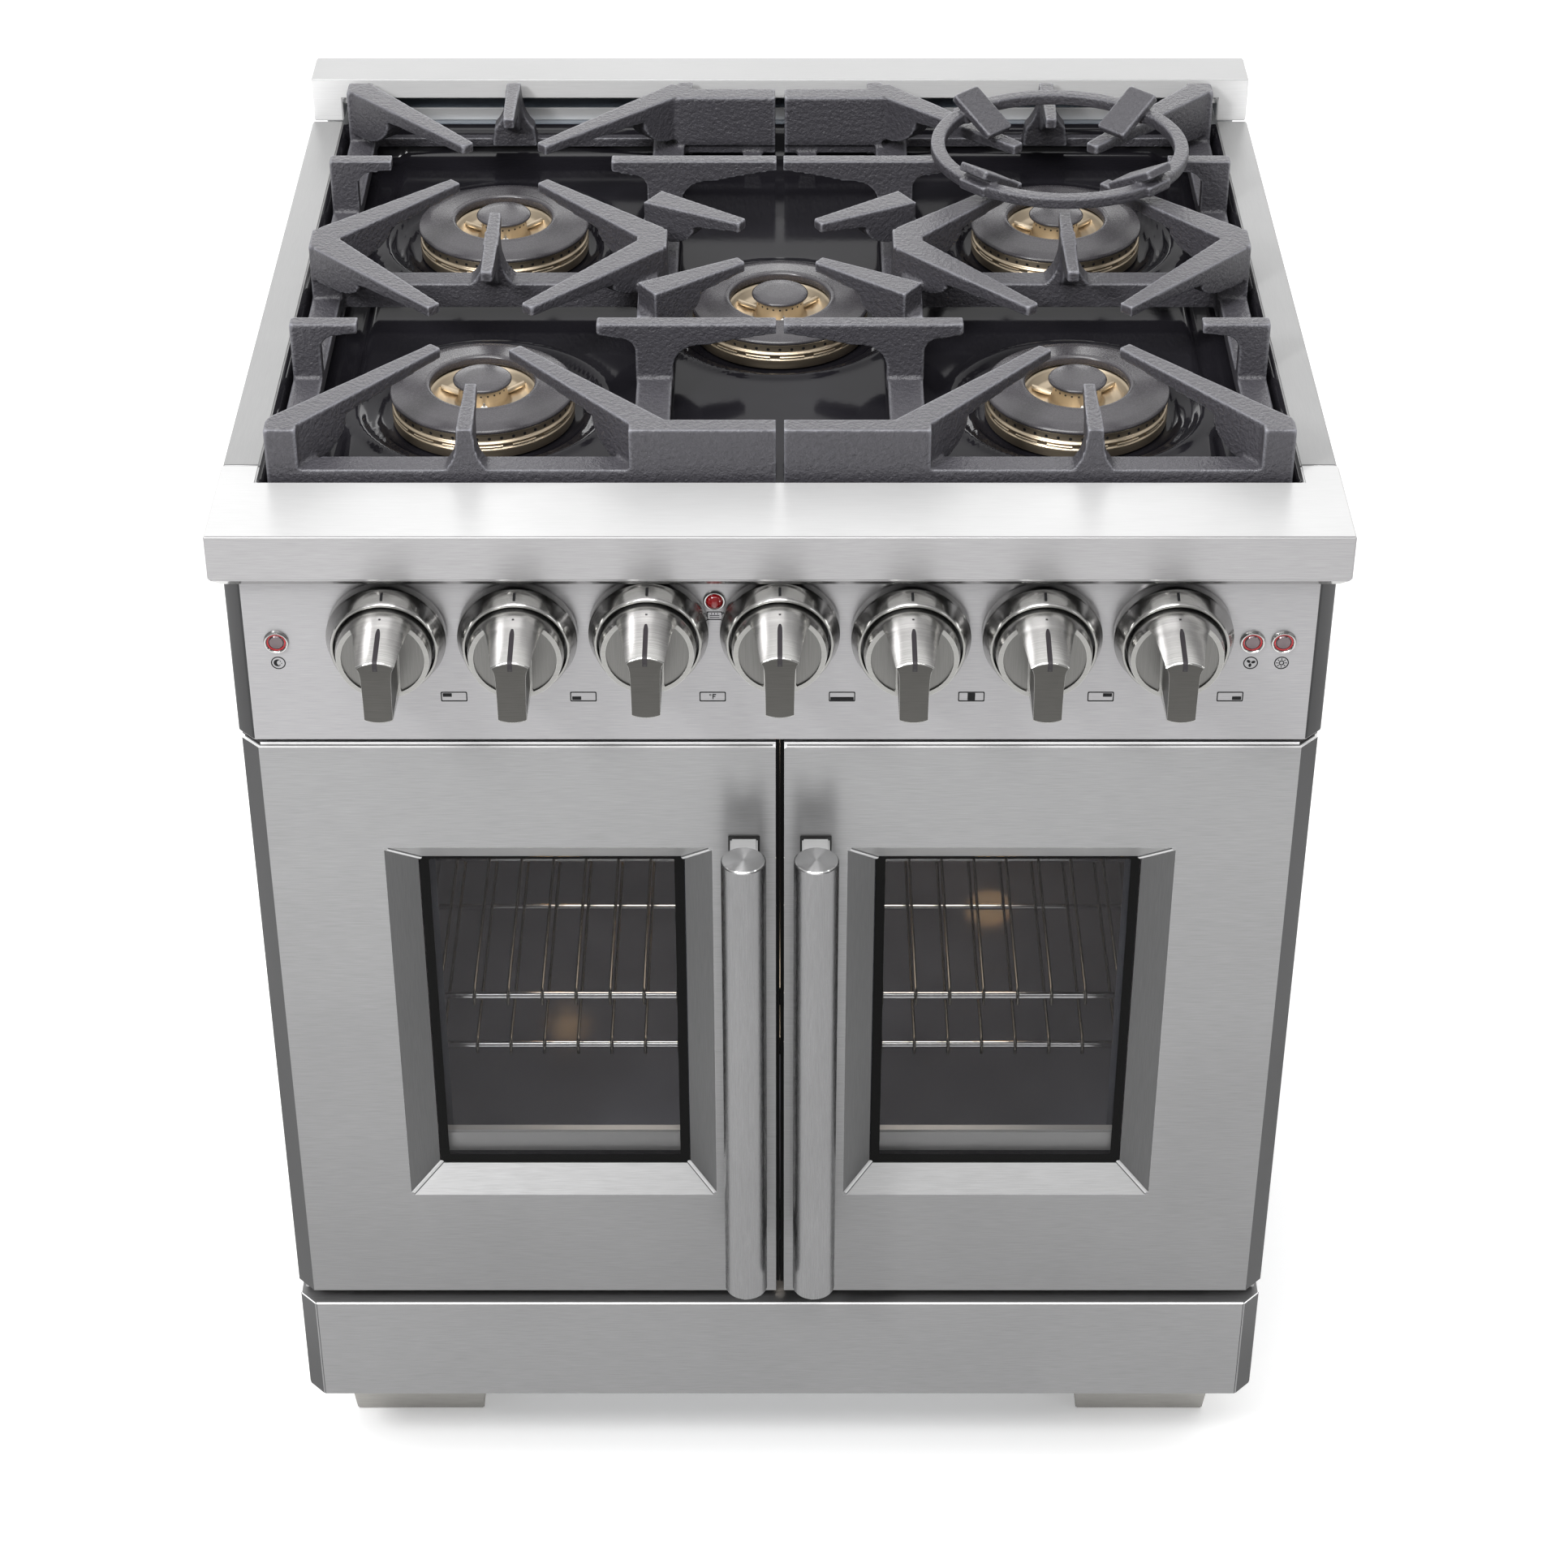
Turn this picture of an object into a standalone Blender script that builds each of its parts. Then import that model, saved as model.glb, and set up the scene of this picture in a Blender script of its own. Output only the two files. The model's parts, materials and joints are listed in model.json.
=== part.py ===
"""Freestanding 30-inch gas range: five sealed burners over an oven with two side-hung doors.

Metres, +Z up, the front facing -Y. The origin is on the floor, under the middle of the whole range.
Plan sizes are written as a distance behind the front of the worktop ledge, and heights as a distance
above or below the worktop rim, which is how such a range is drawn: back() and rise() turn them into Y and Z.
"""

import math

import bmesh
import bpy
from mathutils import Matrix, Vector

# Driving dimensions of the whole range
WIDTH = 0.760
RIM_HEIGHT = 0.914
GUARD_BACK = 0.694
KNOB_REACH = 0.0577
SHEET = 0.002
GAP = 0.0003

# Body
BODY_HALF = 0.375
PANEL_FRONT = 0.017
DOOR_FRONT = 0.025
CORNER = 0.013
PANEL_TOP = -0.0415
PANEL_BOTTOM = -0.174
DOOR_TOP = -0.183
DOOR_BOTTOM = -0.699
KICK_TOP = -0.713
KICK_BOTTOM = -0.812
FRAME_FRONT = 0.082
BODY_BACK = 0.690

# Worktop
LEDGE_BACK = 0.094
LEDGE_HEIGHT = 0.041
LEDGE_CHAMFER = 0.007
OPENING_FRONT = 0.0715
OPENING_HALF = 0.354
TRIM_HALF = 0.379
GUARD_FRONT = 0.650
GUARD_TOP = 0.036
GUARD_HALF = 0.378
BAND_BOTTOM = 0.0196

# Cooktop pan and burners
PAN_TOP = -0.002
PAN_FLOOR = -0.026
WELL_FLOOR = -0.036
WELL_RADIUS = 0.088
BURNERS = {
    "front_left": (-0.212, 0.226),
    "rear_left": (-0.214, 0.490),
    "centre": (0.0, 0.358),
    "front_right": (0.212, 0.226),
    "rear_right": (0.214, 0.490),
}

# Grates and wok ring
GRATE_TOP = 0.037
GRATE_OUTER = 0.346
GRATE_INNER = 0.0027
GRATE_FRONT = 0.0768
GRATE_REAR = 0.6434
RAIL_TOP = 0.004
TEE_D = (0.2336, 0.5005)
DIAMOND_D = 0.352
REAR_PLATE_D = 0.6205
BAR = 0.011
LEG_HALF = 0.012
SPINE = 0.092
RING_RADIUS = 0.0985
RING_BAND = 0.011
RING_HEIGHTS = (0.0463, 0.0553)

# Knobs and push buttons
KNOB_PITCH = 0.0885
KNOB_HEIGHT = -0.0855
KNOB_GRIP_HALF = 0.0105
KNOB_SCOOP_FLOOR = 0.033
OVEN_KNOB_RISE = 0.004
KNOBS = {
    "rear_left": -3,
    "front_left": -2,
    "oven_temp": -1,
    "oven_mode": 0,
    "centre": 1,
    "rear_right": 2,
    "front_right": 3,
}
OVEN_KNOBS = ("oven_temp", "oven_mode")
BEZEL_BORE = 0.0342
BEZEL_DEPTH = 0.0225
STEM_HOLE = 0.006
STEM_RADIUS = 0.003
BUTTONS = {"timer": -0.341, "fan": 0.320, "light": 0.341}
BUTTON_HEIGHT = -0.093
BUTTON_RADIUS = 0.0052
LAMP_PLACE = (-0.044, -0.060)

# Doors and handles
DOOR_GAP = 0.003
DOOR_BACK = 0.060
LINER_BACK = 0.075
RECESS_X = (0.048, 0.2805)
RECESS_H = (-0.600, -0.272)
WINDOW_X = (0.068, 0.2586)
WINDOW_H = (-0.581, -0.2905)
RECESS_DEPTH = 0.015
GLASS = 0.005
HANDLE_X = 0.0254
HANDLE_RADIUS = 0.0157
HANDLE_D = -0.020
HANDLE_H = (-0.652, -0.2495)
POST = (0.0195, 0.032)

# Oven
CAVITY_HALF = 0.301
CAVITY_BACK = 0.600
CAVITY_TOP = -0.205
CAVITY_BOTTOM = -0.655
RACK_HEIGHTS = {"lower": -0.514, "upper": -0.466}
RACK_HALF = 0.290
RACK_D = (0.100, 0.545)
RACK_PITCH = 0.0257
FAN_H = -0.400
PIPE_RADIUS = 0.009
PIPE_X = 0.335
PIPE_HEIGHT = -0.110

# Legs
LEG_X = (0.246, 0.351)
LEG_DEPTH = 0.075
LEG_SPREAD = 0.0125
LEG_D = {"front": 0.110, "rear": 0.600}

LEDGE_Y = -(GUARD_BACK - KNOB_REACH) / 2


def back(distance):
    return LEDGE_Y + distance


def rise(height):
    return RIM_HEIGHT + height


def clear_scene():
    for obj in list(bpy.data.objects):
        bpy.data.objects.remove(obj, do_unlink=True)
    for collection in list(bpy.data.collections):
        bpy.data.collections.remove(collection)


def collection(name):
    made = bpy.data.collections.new(name)
    bpy.context.scene.collection.children.link(made)
    return made


def material(name, colour, roughness, metallic=0.0):
    made = bpy.data.materials.new(name)
    made.use_nodes = True
    shader = made.node_tree.nodes["Principled BSDF"]
    shader.inputs["Base Color"].default_value = (*colour, 1.0)
    shader.inputs["Roughness"].default_value = roughness
    shader.inputs["Metallic"].default_value = metallic
    return made


clear_scene()
RANGE = collection("gas_range")
CUTTERS = collection("cutters")

STEEL = material("stainless", (0.56, 0.56, 0.57), 0.32, 1.0)
BRIGHT = material("bright_trim", (0.72, 0.72, 0.72), 0.15, 1.0)
ENAMEL = material("black_enamel", (0.012, 0.012, 0.014), 0.08)
LINING = material("oven_enamel", (0.035, 0.040, 0.055), 0.25)
IRON = material("cast_iron", (0.070, 0.070, 0.080), 0.60)
CAP = material("burner_cap_enamel", (0.105, 0.100, 0.105), 0.50)
BRASS = material("brass", (0.78, 0.62, 0.38), 0.25, 1.0)
CHROME = material("rack_chrome", (0.60, 0.60, 0.62), 0.15, 1.0)
GLASS_TINT = material("window_glass", (0.02, 0.02, 0.03), 0.03)
RED = material("red_lens", (0.70, 0.01, 0.02), 0.10)
GALVANISED = material("galvanised", (0.42, 0.43, 0.44), 0.45, 1.0)


def add(name, mesh, finish=None):
    """A finish makes the object a sub-part; without one it is a hidden helper for the Booleans."""
    obj = bpy.data.objects.new(name, mesh)
    if finish is None:
        CUTTERS.objects.link(obj)
        obj.hide_render = True
        obj.display_type = "WIRE"
    else:
        RANGE.objects.link(obj)
        mesh.materials.clear()
        mesh.materials.append(finish)
    return obj


def mesh_from(bm, name):
    mesh = bpy.data.meshes.new(name)
    bmesh.ops.recalc_face_normals(bm, faces=bm.faces)
    bm.to_mesh(mesh)
    bm.free()
    return mesh


def box(name, x, d, h, finish=None):
    """A block between two X places, two distances back and two heights."""
    size = Vector((x[1] - x[0], d[1] - d[0], h[1] - h[0]))
    middle = Vector(((x[0] + x[1]) / 2, back((d[0] + d[1]) / 2), rise((h[0] + h[1]) / 2)))
    bm = bmesh.new()
    bmesh.ops.create_cube(bm, size=1.0, matrix=Matrix.Translation(middle) @ Matrix.Diagonal((*size, 1.0)))
    return add(name, mesh_from(bm, name), finish)


def taper(name, low, high, heights, finish=None):
    """A block whose bottom rectangle (x, d) grows or shrinks into its top rectangle."""
    bm = bmesh.new()
    bmesh.ops.create_cube(bm, size=1.0)
    for vert in bm.verts:
        (x, d), h = (high, heights[1]) if vert.co.z > 0 else (low, heights[0])
        vert.co = Vector((x[vert.co.x > 0], back(d[vert.co.y > 0]), rise(h)))
    return add(name, mesh_from(bm, name), finish)


def recess(name, front, rear, d):
    """A block whose front rectangle (x, h) narrows into its rear rectangle."""
    bm = bmesh.new()
    bmesh.ops.create_cube(bm, size=1.0)
    for vert in bm.verts:
        (x, h), at = (rear, d[1]) if vert.co.y > 0 else (front, d[0])
        vert.co = Vector((x[vert.co.x > 0], back(at), rise(h[vert.co.z > 0])))
    return add(name, mesh_from(bm, name))


def bar(name, start, end, width, heights, tip=1.0, tip_low=None):
    """A cast bar from one plan place (x, d) to another.

    tip narrows its end, and tip_low lifts its underside there.
    """
    start = Vector((start[0], back(start[1])))
    end = Vector((end[0], back(end[1])))
    side = (end - start).normalized().orthogonal() * width / 2
    bm = bmesh.new()
    bmesh.ops.create_cube(bm, size=1.0)
    for vert in bm.verts:
        at_tip = vert.co.x > 0
        plan = end + side * tip * (1 if vert.co.y > 0 else -1) if at_tip else None
        if plan is None:
            plan = start + side * (1 if vert.co.y > 0 else -1)
        low = heights[0] if not at_tip or tip_low is None else tip_low
        vert.co = Vector((plan.x, plan.y, rise(heights[1] if vert.co.z > 0 else low)))
    return add(name, mesh_from(bm, name))


def prism(name, outline, heights, finish=None):
    """A flat plan outline of (x, d) points, extruded between two heights."""
    curve = bpy.data.curves.new(name, "CURVE")
    curve.dimensions = "2D"
    curve.fill_mode = "BOTH"
    curve.extrude = (heights[1] - heights[0]) / 2
    spline = curve.splines.new("POLY")
    spline.points.add(len(outline) - 1)
    for point, (x, d) in zip(spline.points, outline):
        point.co = (x, back(d), 0.0, 1.0)
    spline.use_cyclic_u = True
    place = Matrix.Translation((0, 0, rise((heights[0] + heights[1]) / 2)))
    return add(name, mesh_of_curve(name, curve, place), finish)


def mesh_of_curve(name, curve, place=Matrix()):
    """The welded, closed mesh of a curve, for a piece that a Boolean takes."""
    guide = bpy.data.objects.new(name + "_guide", curve)
    bpy.context.scene.collection.objects.link(guide)
    graph = bpy.context.evaluated_depsgraph_get()
    graph.update()
    mesh = bpy.data.meshes.new_from_object(guide.evaluated_get(graph))
    bpy.data.objects.remove(guide, do_unlink=True)
    bm = bmesh.new()
    bm.from_mesh(mesh)
    bmesh.ops.remove_doubles(bm, verts=bm.verts, dist=1e-5)
    bmesh.ops.transform(bm, matrix=place, verts=bm.verts)
    return mesh_from(bm, name)


def tube(name, points, radius, finish=None, sides=2):
    """A round tube through world points, with filled ends."""
    curve = bpy.data.curves.new(name, "CURVE")
    curve.dimensions = "3D"
    curve.bevel_depth = radius
    curve.bevel_resolution = sides
    curve.use_fill_caps = True
    spline = curve.splines.new("POLY")
    spline.points.add(len(points) - 1)
    for point, place in zip(spline.points, points):
        point.co = (*place, 1.0)
    return add(name, mesh_of_curve(name, curve), finish)


def rod(name, radius, low, high, sides=24, finish=None):
    """A cylinder between two world points."""
    low, high = Vector(low), Vector(high)
    turn = Vector((0, 0, 1)).rotation_difference(high - low).to_matrix().to_4x4()
    bm = bmesh.new()
    bmesh.ops.create_cone(
        bm,
        cap_ends=True,
        segments=sides,
        radius1=radius,
        radius2=radius,
        depth=(high - low).length,
        matrix=Matrix.Translation((low + high) / 2) @ turn,
    )
    return add(name, mesh_from(bm, name), finish)


def turned(name, profile, steps, centre, forward=False, finish=None, closed=False):
    """A turned piece from (radius, height) points, outer side first from the top down.

    forward lays its axis along -Y, so that a height becomes a distance in front of the centre.
    """
    bm = bmesh.new()
    verts = [bm.verts.new((radius, 0.0, height)) for radius, height in profile]
    for a, b in zip(verts, verts[1:] + (verts[:1] if closed else [])):
        bm.edges.new((a, b))
    mesh = bpy.data.meshes.new(name)
    bm.to_mesh(mesh)
    bm.free()
    obj = add(name, mesh, finish)
    screw = obj.modifiers.new("Turn", "SCREW")
    screw.axis = "Z"
    screw.steps = screw.render_steps = steps
    screw.use_merge_vertices = True
    screw.merge_threshold = 0.00005
    obj.location = centre
    if forward:
        obj.rotation_euler = (math.pi / 2, 0.0, 0.0)
    return obj


def boolean(obj, others, operation):
    for other in others:
        modifier = obj.modifiers.new(other.name, "BOOLEAN")
        modifier.operation = operation
        modifier.solver = "EXACT"
        modifier.object = other
    return obj


def cut(obj, *cutters):
    return boolean(obj, cutters, "DIFFERENCE")


def join(obj, *others):
    return boolean(obj, others, "UNION")


def join_all(name, pieces, finish):
    """One casting from many overlapping pieces: the first one becomes the sub-part."""
    first, rest = pieces[0], pieces[1:]
    group = collection(name + "_pieces")
    bpy.context.scene.collection.children.unlink(group)
    CUTTERS.children.link(group)
    for piece in rest:
        CUTTERS.objects.unlink(piece)
        group.objects.link(piece)
    CUTTERS.objects.unlink(first)
    RANGE.objects.link(first)
    first.name = name
    first.hide_render = False
    first.display_type = "TEXTURED"
    first.data.materials.append(finish)
    modifier = first.modifiers.new("Casting", "BOOLEAN")
    modifier.operation = "UNION"
    modifier.solver = "EXACT"
    modifier.operand_type = "COLLECTION"
    modifier.collection = group
    return first


def chamfered_outline(front, rear, half=BODY_HALF, corner=CORNER):
    """The plan of a front panel whose two front corners are cut at 45 degrees."""
    return [
        (-half, front + corner),
        (-half + corner, front),
        (half - corner, front),
        (half, front + corner),
        (half, rear),
        (-half, rear),
    ]


def trim_block(name, x, d, chamfered, finish):
    """A worktop edge: a block whose named lower edges have the small 45 degree chamfer."""
    obj = box(name, x, d, (-LEDGE_HEIGHT, 0.0), finish)
    bm = bmesh.new()
    bm.from_mesh(obj.data)
    bottom = min(v.co.z for v in bm.verts)
    faces = {
        "front": (1, back(d[0])),
        "left": (0, x[0]),
        "right": (0, x[1]),
    }
    chosen = []
    for edge in bm.edges:
        for side in chamfered:
            axis, place = faces[side]
            on_side = all(abs(v.co[axis] - place) < 1e-6 for v in edge.verts)
            if on_side and all(abs(v.co.z - bottom) < 1e-6 for v in edge.verts):
                chosen.append(edge)
    bmesh.ops.bevel(bm, geom=chosen, offset=LEDGE_CHAMFER, segments=1, affect="EDGES")
    bm.to_mesh(obj.data)
    bm.free()
    return obj


def worktop_edges():
    half = WIDTH / 2
    ledge = trim_block(
        "front_ledge", (-half, half), (0.0, LEDGE_BACK), ("front", "left", "right"), STEEL
    )
    notch = box("ledge_notch", (-OPENING_HALF, OPENING_HALF), (OPENING_FRONT, 0.12), (-0.06, 0.02))
    hollow = box("ledge_hollow", (-half + 0.009, half - 0.009), (0.009, 0.0695), (-0.06, -SHEET))
    cut(ledge, notch, hollow)
    for side, sign in (("left", -1), ("right", 1)):
        x = sorted((sign * OPENING_HALF, sign * TRIM_HALF))
        trim = trim_block(
            "side_trim_" + side, x, (LEDGE_BACK + GAP, GUARD_FRONT), (side,), STEEL
        )
        inner = sorted((sign * (OPENING_HALF + SHEET), sign * (TRIM_HALF - 0.009)))
        cut(trim, box("trim_hollow_" + side, inner, (0.05, 0.70), (-0.06, -SHEET)))


def back_guard():
    guard = box(
        "back_guard", (-GUARD_HALF, GUARD_HALF), (GUARD_FRONT + GAP, GUARD_BACK), (0.0, GUARD_TOP), STEEL
    )
    inside = (-OPENING_HALF, OPENING_HALF)
    window = box("guard_window", inside, (0.64, 0.66), (-0.01, BAND_BOTTOM))
    flue = box("guard_flue", inside, (GUARD_FRONT + SHEET, GUARD_BACK - SHEET), (-0.01, GUARD_TOP - SHEET))
    cut(guard, window, flue)


def cooktop_pan():
    half = OPENING_HALF - GAP
    d = (OPENING_FRONT + GAP, GUARD_FRONT - 0.002)
    pan = box("cooktop_pan", (-half, half), d, (PAN_FLOOR - SHEET, PAN_TOP), ENAMEL)
    inner_d = (d[0] + SHEET, d[1] - SHEET)
    inner = box("pan_inside", (SHEET - half, half - SHEET), inner_d, (PAN_FLOOR, 0.02))
    wells, hollows = [], []
    for name, (x, at) in BURNERS.items():
        y = back(at)
        ends = (x, y, rise(WELL_FLOOR - SHEET)), (x, y, rise(PAN_FLOOR - 0.001))
        wells.append(rod("well_" + name, WELL_RADIUS + SHEET, *ends, 24))
        hollows.append(
            rod("well_hollow_" + name, WELL_RADIUS, (x, y, rise(WELL_FLOOR)), (x, y, rise(0.01)), 24)
        )
    join(pan, *wells)
    cut(pan, inner, *hollows)


def burners():
    """A brass base with its centre burner, and the loose ring-shaped cap that rests on it."""
    base = [
        (0.0, -0.0040),
        (0.0205, -0.0045),
        (0.0213, -0.0085),
        (0.0165, -0.0095),
        (0.0165, -0.0205),
        (0.0360, -0.0205),
        (0.0370, -0.0148),
        (0.0625, -0.0148),
        (0.0640, -0.0190),
        (0.0620, WELL_FLOOR + GAP),
        (0.0, WELL_FLOOR + GAP),
    ]
    cap = [
        (0.0380, -0.0080),
        (0.0640, -0.0080),
        (0.0663, -0.0100),
        (0.0655, -0.0145),
        (0.0372, -0.0145),
        (0.0365, -0.0095),
    ]
    for name, (x, at) in BURNERS.items():
        centre = (x, back(at), RIM_HEIGHT)
        turned("burner_base_" + name, base, 18, centre, finish=BRASS)
        turned("burner_cap_" + name, cap, 18, centre, finish=CAP, closed=True)


def grate_pieces(side, sign):
    """The bars of one cast grate: rails and legs around two burners, with fingers pointing at them."""

    def place(x, d):
        return (sign * x, d)

    def piece(label, start, end, width, heights, tip=1.0, tip_low=None):
        return bar(f"grate_{side}_{label}", place(*start), place(*end), width, heights, tip, tip_low)

    feet = PAN_FLOOR + GAP
    full = (feet, GRATE_TOP)
    low = (feet + 0.008, RAIL_TOP)
    half = BAR / 2
    outer = GRATE_OUTER - half
    front, rear = GRATE_FRONT + half, GRATE_REAR - half
    front_x, rear_x = -BURNERS["front_left"][0], -BURNERS["rear_left"][0]
    finger = (0.020, GRATE_TOP)
    pieces = [
        piece("outer_rail", (outer, GRATE_FRONT), (outer, GRATE_REAR), BAR, low),
        piece("spine", (SPINE, GRATE_FRONT), (SPINE, GRATE_REAR), BAR, low),
        piece("front_rail", (GRATE_OUTER, front), (GRATE_INNER, front), BAR, (feet + 0.004, 0.011)),
        piece("rear_rail", (GRATE_OUTER, rear), (GRATE_INNER, rear), BAR, (feet + 0.008, 0.008)),
        piece("middle_rail", (outer, DIAMOND_D), (SPINE, DIAMOND_D), BAR, (feet + 0.012, 0.008)),
        piece("front_plate", (0.100, front), (GRATE_INNER, front), BAR, (feet + 0.004, GRATE_TOP)),
        piece("rear_plate", (0.084, REAR_PLATE_D), (GRATE_INNER, REAR_PLATE_D), 0.014, (-0.006, GRATE_TOP)),
        piece("rear_plate_web", (0.079, 0.640), (0.079, 0.618), BAR, (-0.006, GRATE_TOP)),
        piece("inner_foot_front", (0.0082, GRATE_FRONT), (0.0082, 0.088), BAR, full),
        piece("inner_foot_rear", (0.0082, 0.614), (0.0082, GRATE_REAR), BAR, (feet, 0.02)),
    ]
    legs = {
        "leg_front": (outer, GRATE_FRONT + LEG_HALF),
        "leg_tee_front": (outer, TEE_D[0]),
        "leg_diamond": (outer, 0.372),
        "leg_tee_rear": (outer, TEE_D[1]),
        "leg_rear": (outer, GRATE_REAR - LEG_HALF),
        "spine_front": (SPINE - 0.004, GRATE_FRONT + LEG_HALF),
        "spine_tee_front": (SPINE, TEE_D[0]),
        "spine_diamond": (SPINE, DIAMOND_D),
        "spine_tee_rear": (SPINE, TEE_D[1]),
        "spine_rear": (SPINE - 0.004, GRATE_REAR - LEG_HALF),
    }
    for label, (x, d) in legs.items():
        pieces.append(piece(label, (x, d - LEG_HALF), (x, d + LEG_HALF), BAR + 0.002, full))
    tees = {
        "tee_outer_front": ((GRATE_OUTER, TEE_D[0]), (0.2989, TEE_D[0])),
        "tee_outer_rear": ((GRATE_OUTER, TEE_D[1]), (0.2991, TEE_D[1])),
        "tee_spine_front": ((0.1290, TEE_D[0]), (GRATE_INNER, TEE_D[0])),
        "tee_spine_rear": ((0.1309, TEE_D[1]), (GRATE_INNER, TEE_D[1])),
    }
    for label, (start, end) in tees.items():
        pieces.append(piece(label, start, end, BAR, (0.024, GRATE_TOP), tip_low=0.030))
    fingers = {
        "front_outer": ((GRATE_OUTER - 0.004, 0.094), (0.2405, 0.1964)),
        "front_inner": ((0.0825, 0.094), (0.1854, 0.1941)),
        "diamond_outer_front": ((GRATE_OUTER - 0.005, 0.368), (0.2413, 0.2507)),
        "diamond_outer_rear": ((GRATE_OUTER - 0.005, DIAMOND_D), (0.2426, 0.4643)),
        "diamond_inner_front": ((0.0865, 0.368), (0.1844, 0.2550)),
        "diamond_inner_rear": ((0.0865, DIAMOND_D), (0.1860, 0.4643)),
        "rear_outer": ((GRATE_OUTER - 0.004, 0.636), (0.2419, 0.5256)),
        "rear_inner": ((0.0825, 0.634), (0.1854, 0.5256)),
        "centre_front": ((0.1000, 0.288), (0.0275, 0.3291)),
        "centre_rear": ((0.1000, 0.428), (0.0279, 0.3917)),
        "straight_front": ((front_x, 0.0768), (front_x, 0.1420)),
        "straight_middle_front": ((front_x, DIAMOND_D), (front_x, 0.3072)),
        "straight_middle_rear": ((rear_x, DIAMOND_D), (rear_x, 0.4040)),
        "straight_rear": ((rear_x, GRATE_REAR), (rear_x, 0.5726)),
    }
    for label, (start, end) in fingers.items():
        pieces.append(piece(label, start, end, BAR + 0.002, finger, 0.75, 0.030))
    roots = {"front": (front_x, front), "middle": (rear_x, DIAMOND_D), "rear": (rear_x, rear)}
    for label, (x, d) in roots.items():
        pieces.append(piece("root_" + label, (x - 0.011, d), (x + 0.011, d), BAR, (-0.005, 0.030)))
    pieces.append(piece("centre_web_front", (SPINE, 0.284), (SPINE, DIAMOND_D), BAR, (0.0, 0.030)))
    pieces.append(piece("centre_web_rear", (SPINE, DIAMOND_D), (SPINE, 0.440), BAR, (0.0, 0.030)))
    return pieces


def grates():
    for side, sign in (("left", -1), ("right", 1)):
        join_all("grate_" + side, grate_pieces(side, sign), IRON)


def wok_ring():
    x, at = BURNERS["rear_right"]
    low, high = RING_HEIGHTS
    inner = RING_RADIUS - RING_BAND
    section = [(inner, high), (RING_RADIUS, high), (RING_RADIUS, low), (inner, low)]
    ring = turned("wok_ring", section, 32, (x, back(at), RIM_HEIGHT), finish=IRON, closed=True)
    lugs = []
    for quarter in range(4):
        angle = math.radians(45 + 90 * quarter)
        out = Vector((math.cos(angle), math.sin(angle)))
        outer = out * (RING_RADIUS - 0.001)
        inward = out * (RING_RADIUS - 0.042)
        lug = bar(
            f"wok_lug_{quarter}",
            (x + outer.x, at + outer.y),
            (x + inward.x, at + inward.y),
            0.026,
            (low + 0.001, high + 0.012),
        )
        for vert in lug.data.vertices:
            reach = (Vector((vert.co.x - x, vert.co.y - back(at)))).length
            if reach < RING_RADIUS - 0.02:
                vert.co.z -= 0.010 + (0.012 if vert.co.z > rise(high) else 0.0) - 0.0022
        lugs.append(lug)
    join(ring, *lugs)


def control_panel():
    outline = chamfered_outline(PANEL_FRONT, 0.068, corner=0.012)
    panel = prism("control_panel", outline, (PANEL_BOTTOM, PANEL_TOP), STEEL)
    inside = chamfered_outline(PANEL_FRONT + SHEET, 0.080, BODY_HALF - SHEET, 0.011)
    cut(panel, prism("panel_inside", inside, (PANEL_BOTTOM + SHEET, 0.02)))
    bezel = [
        (0.0360, BEZEL_DEPTH),
        (0.0405, 0.0095),
        (0.0405, -0.0010),
        (BEZEL_BORE, -0.0010),
        (BEZEL_BORE, BEZEL_DEPTH),
    ]
    rings, holes = [], []
    for name, step in KNOBS.items():
        x, h = knob_place(name, step)
        centre = (x, back(PANEL_FRONT), rise(h))
        rings.append(turned("bezel_" + name, bezel, 24, centre, forward=True, closed=True))
        hole_ends = (x, back(-0.01), rise(h)), (x, back(0.03), rise(h))
        holes.append(rod("stem_hole_" + name, STEM_HOLE, *hole_ends, 8))
    ring = [
        (0.0065, 0.0028),
        (0.0082, 0.0015),
        (0.00875, -0.0010),
        (BUTTON_RADIUS + 0.0004, -0.0010),
        (BUTTON_RADIUS + 0.0004, 0.0028),
    ]
    for name, x in BUTTONS.items():
        centre = (x, back(PANEL_FRONT), rise(BUTTON_HEIGHT))
        rings.append(turned("button_ring_" + name, ring, 12, centre, forward=True, closed=True))
        holes.append(
            rod(
                "button_hole_" + name,
                BUTTON_RADIUS + 0.0004,
                (x, back(0.0), centre[2]),
                (x, back(0.03), centre[2]),
                12,
            )
        )
    x, h = LAMP_PLACE
    holes.append(rod("lamp_hole", 0.0045, (x, back(0.0), rise(h)), (x, back(0.03), rise(h)), 16))
    join(panel, *rings)
    cut(panel, *holes)


def knob_place(name, step):
    return step * KNOB_PITCH, KNOB_HEIGHT + (OVEN_KNOB_RISE if name in OVEN_KNOBS else 0.0)


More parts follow.
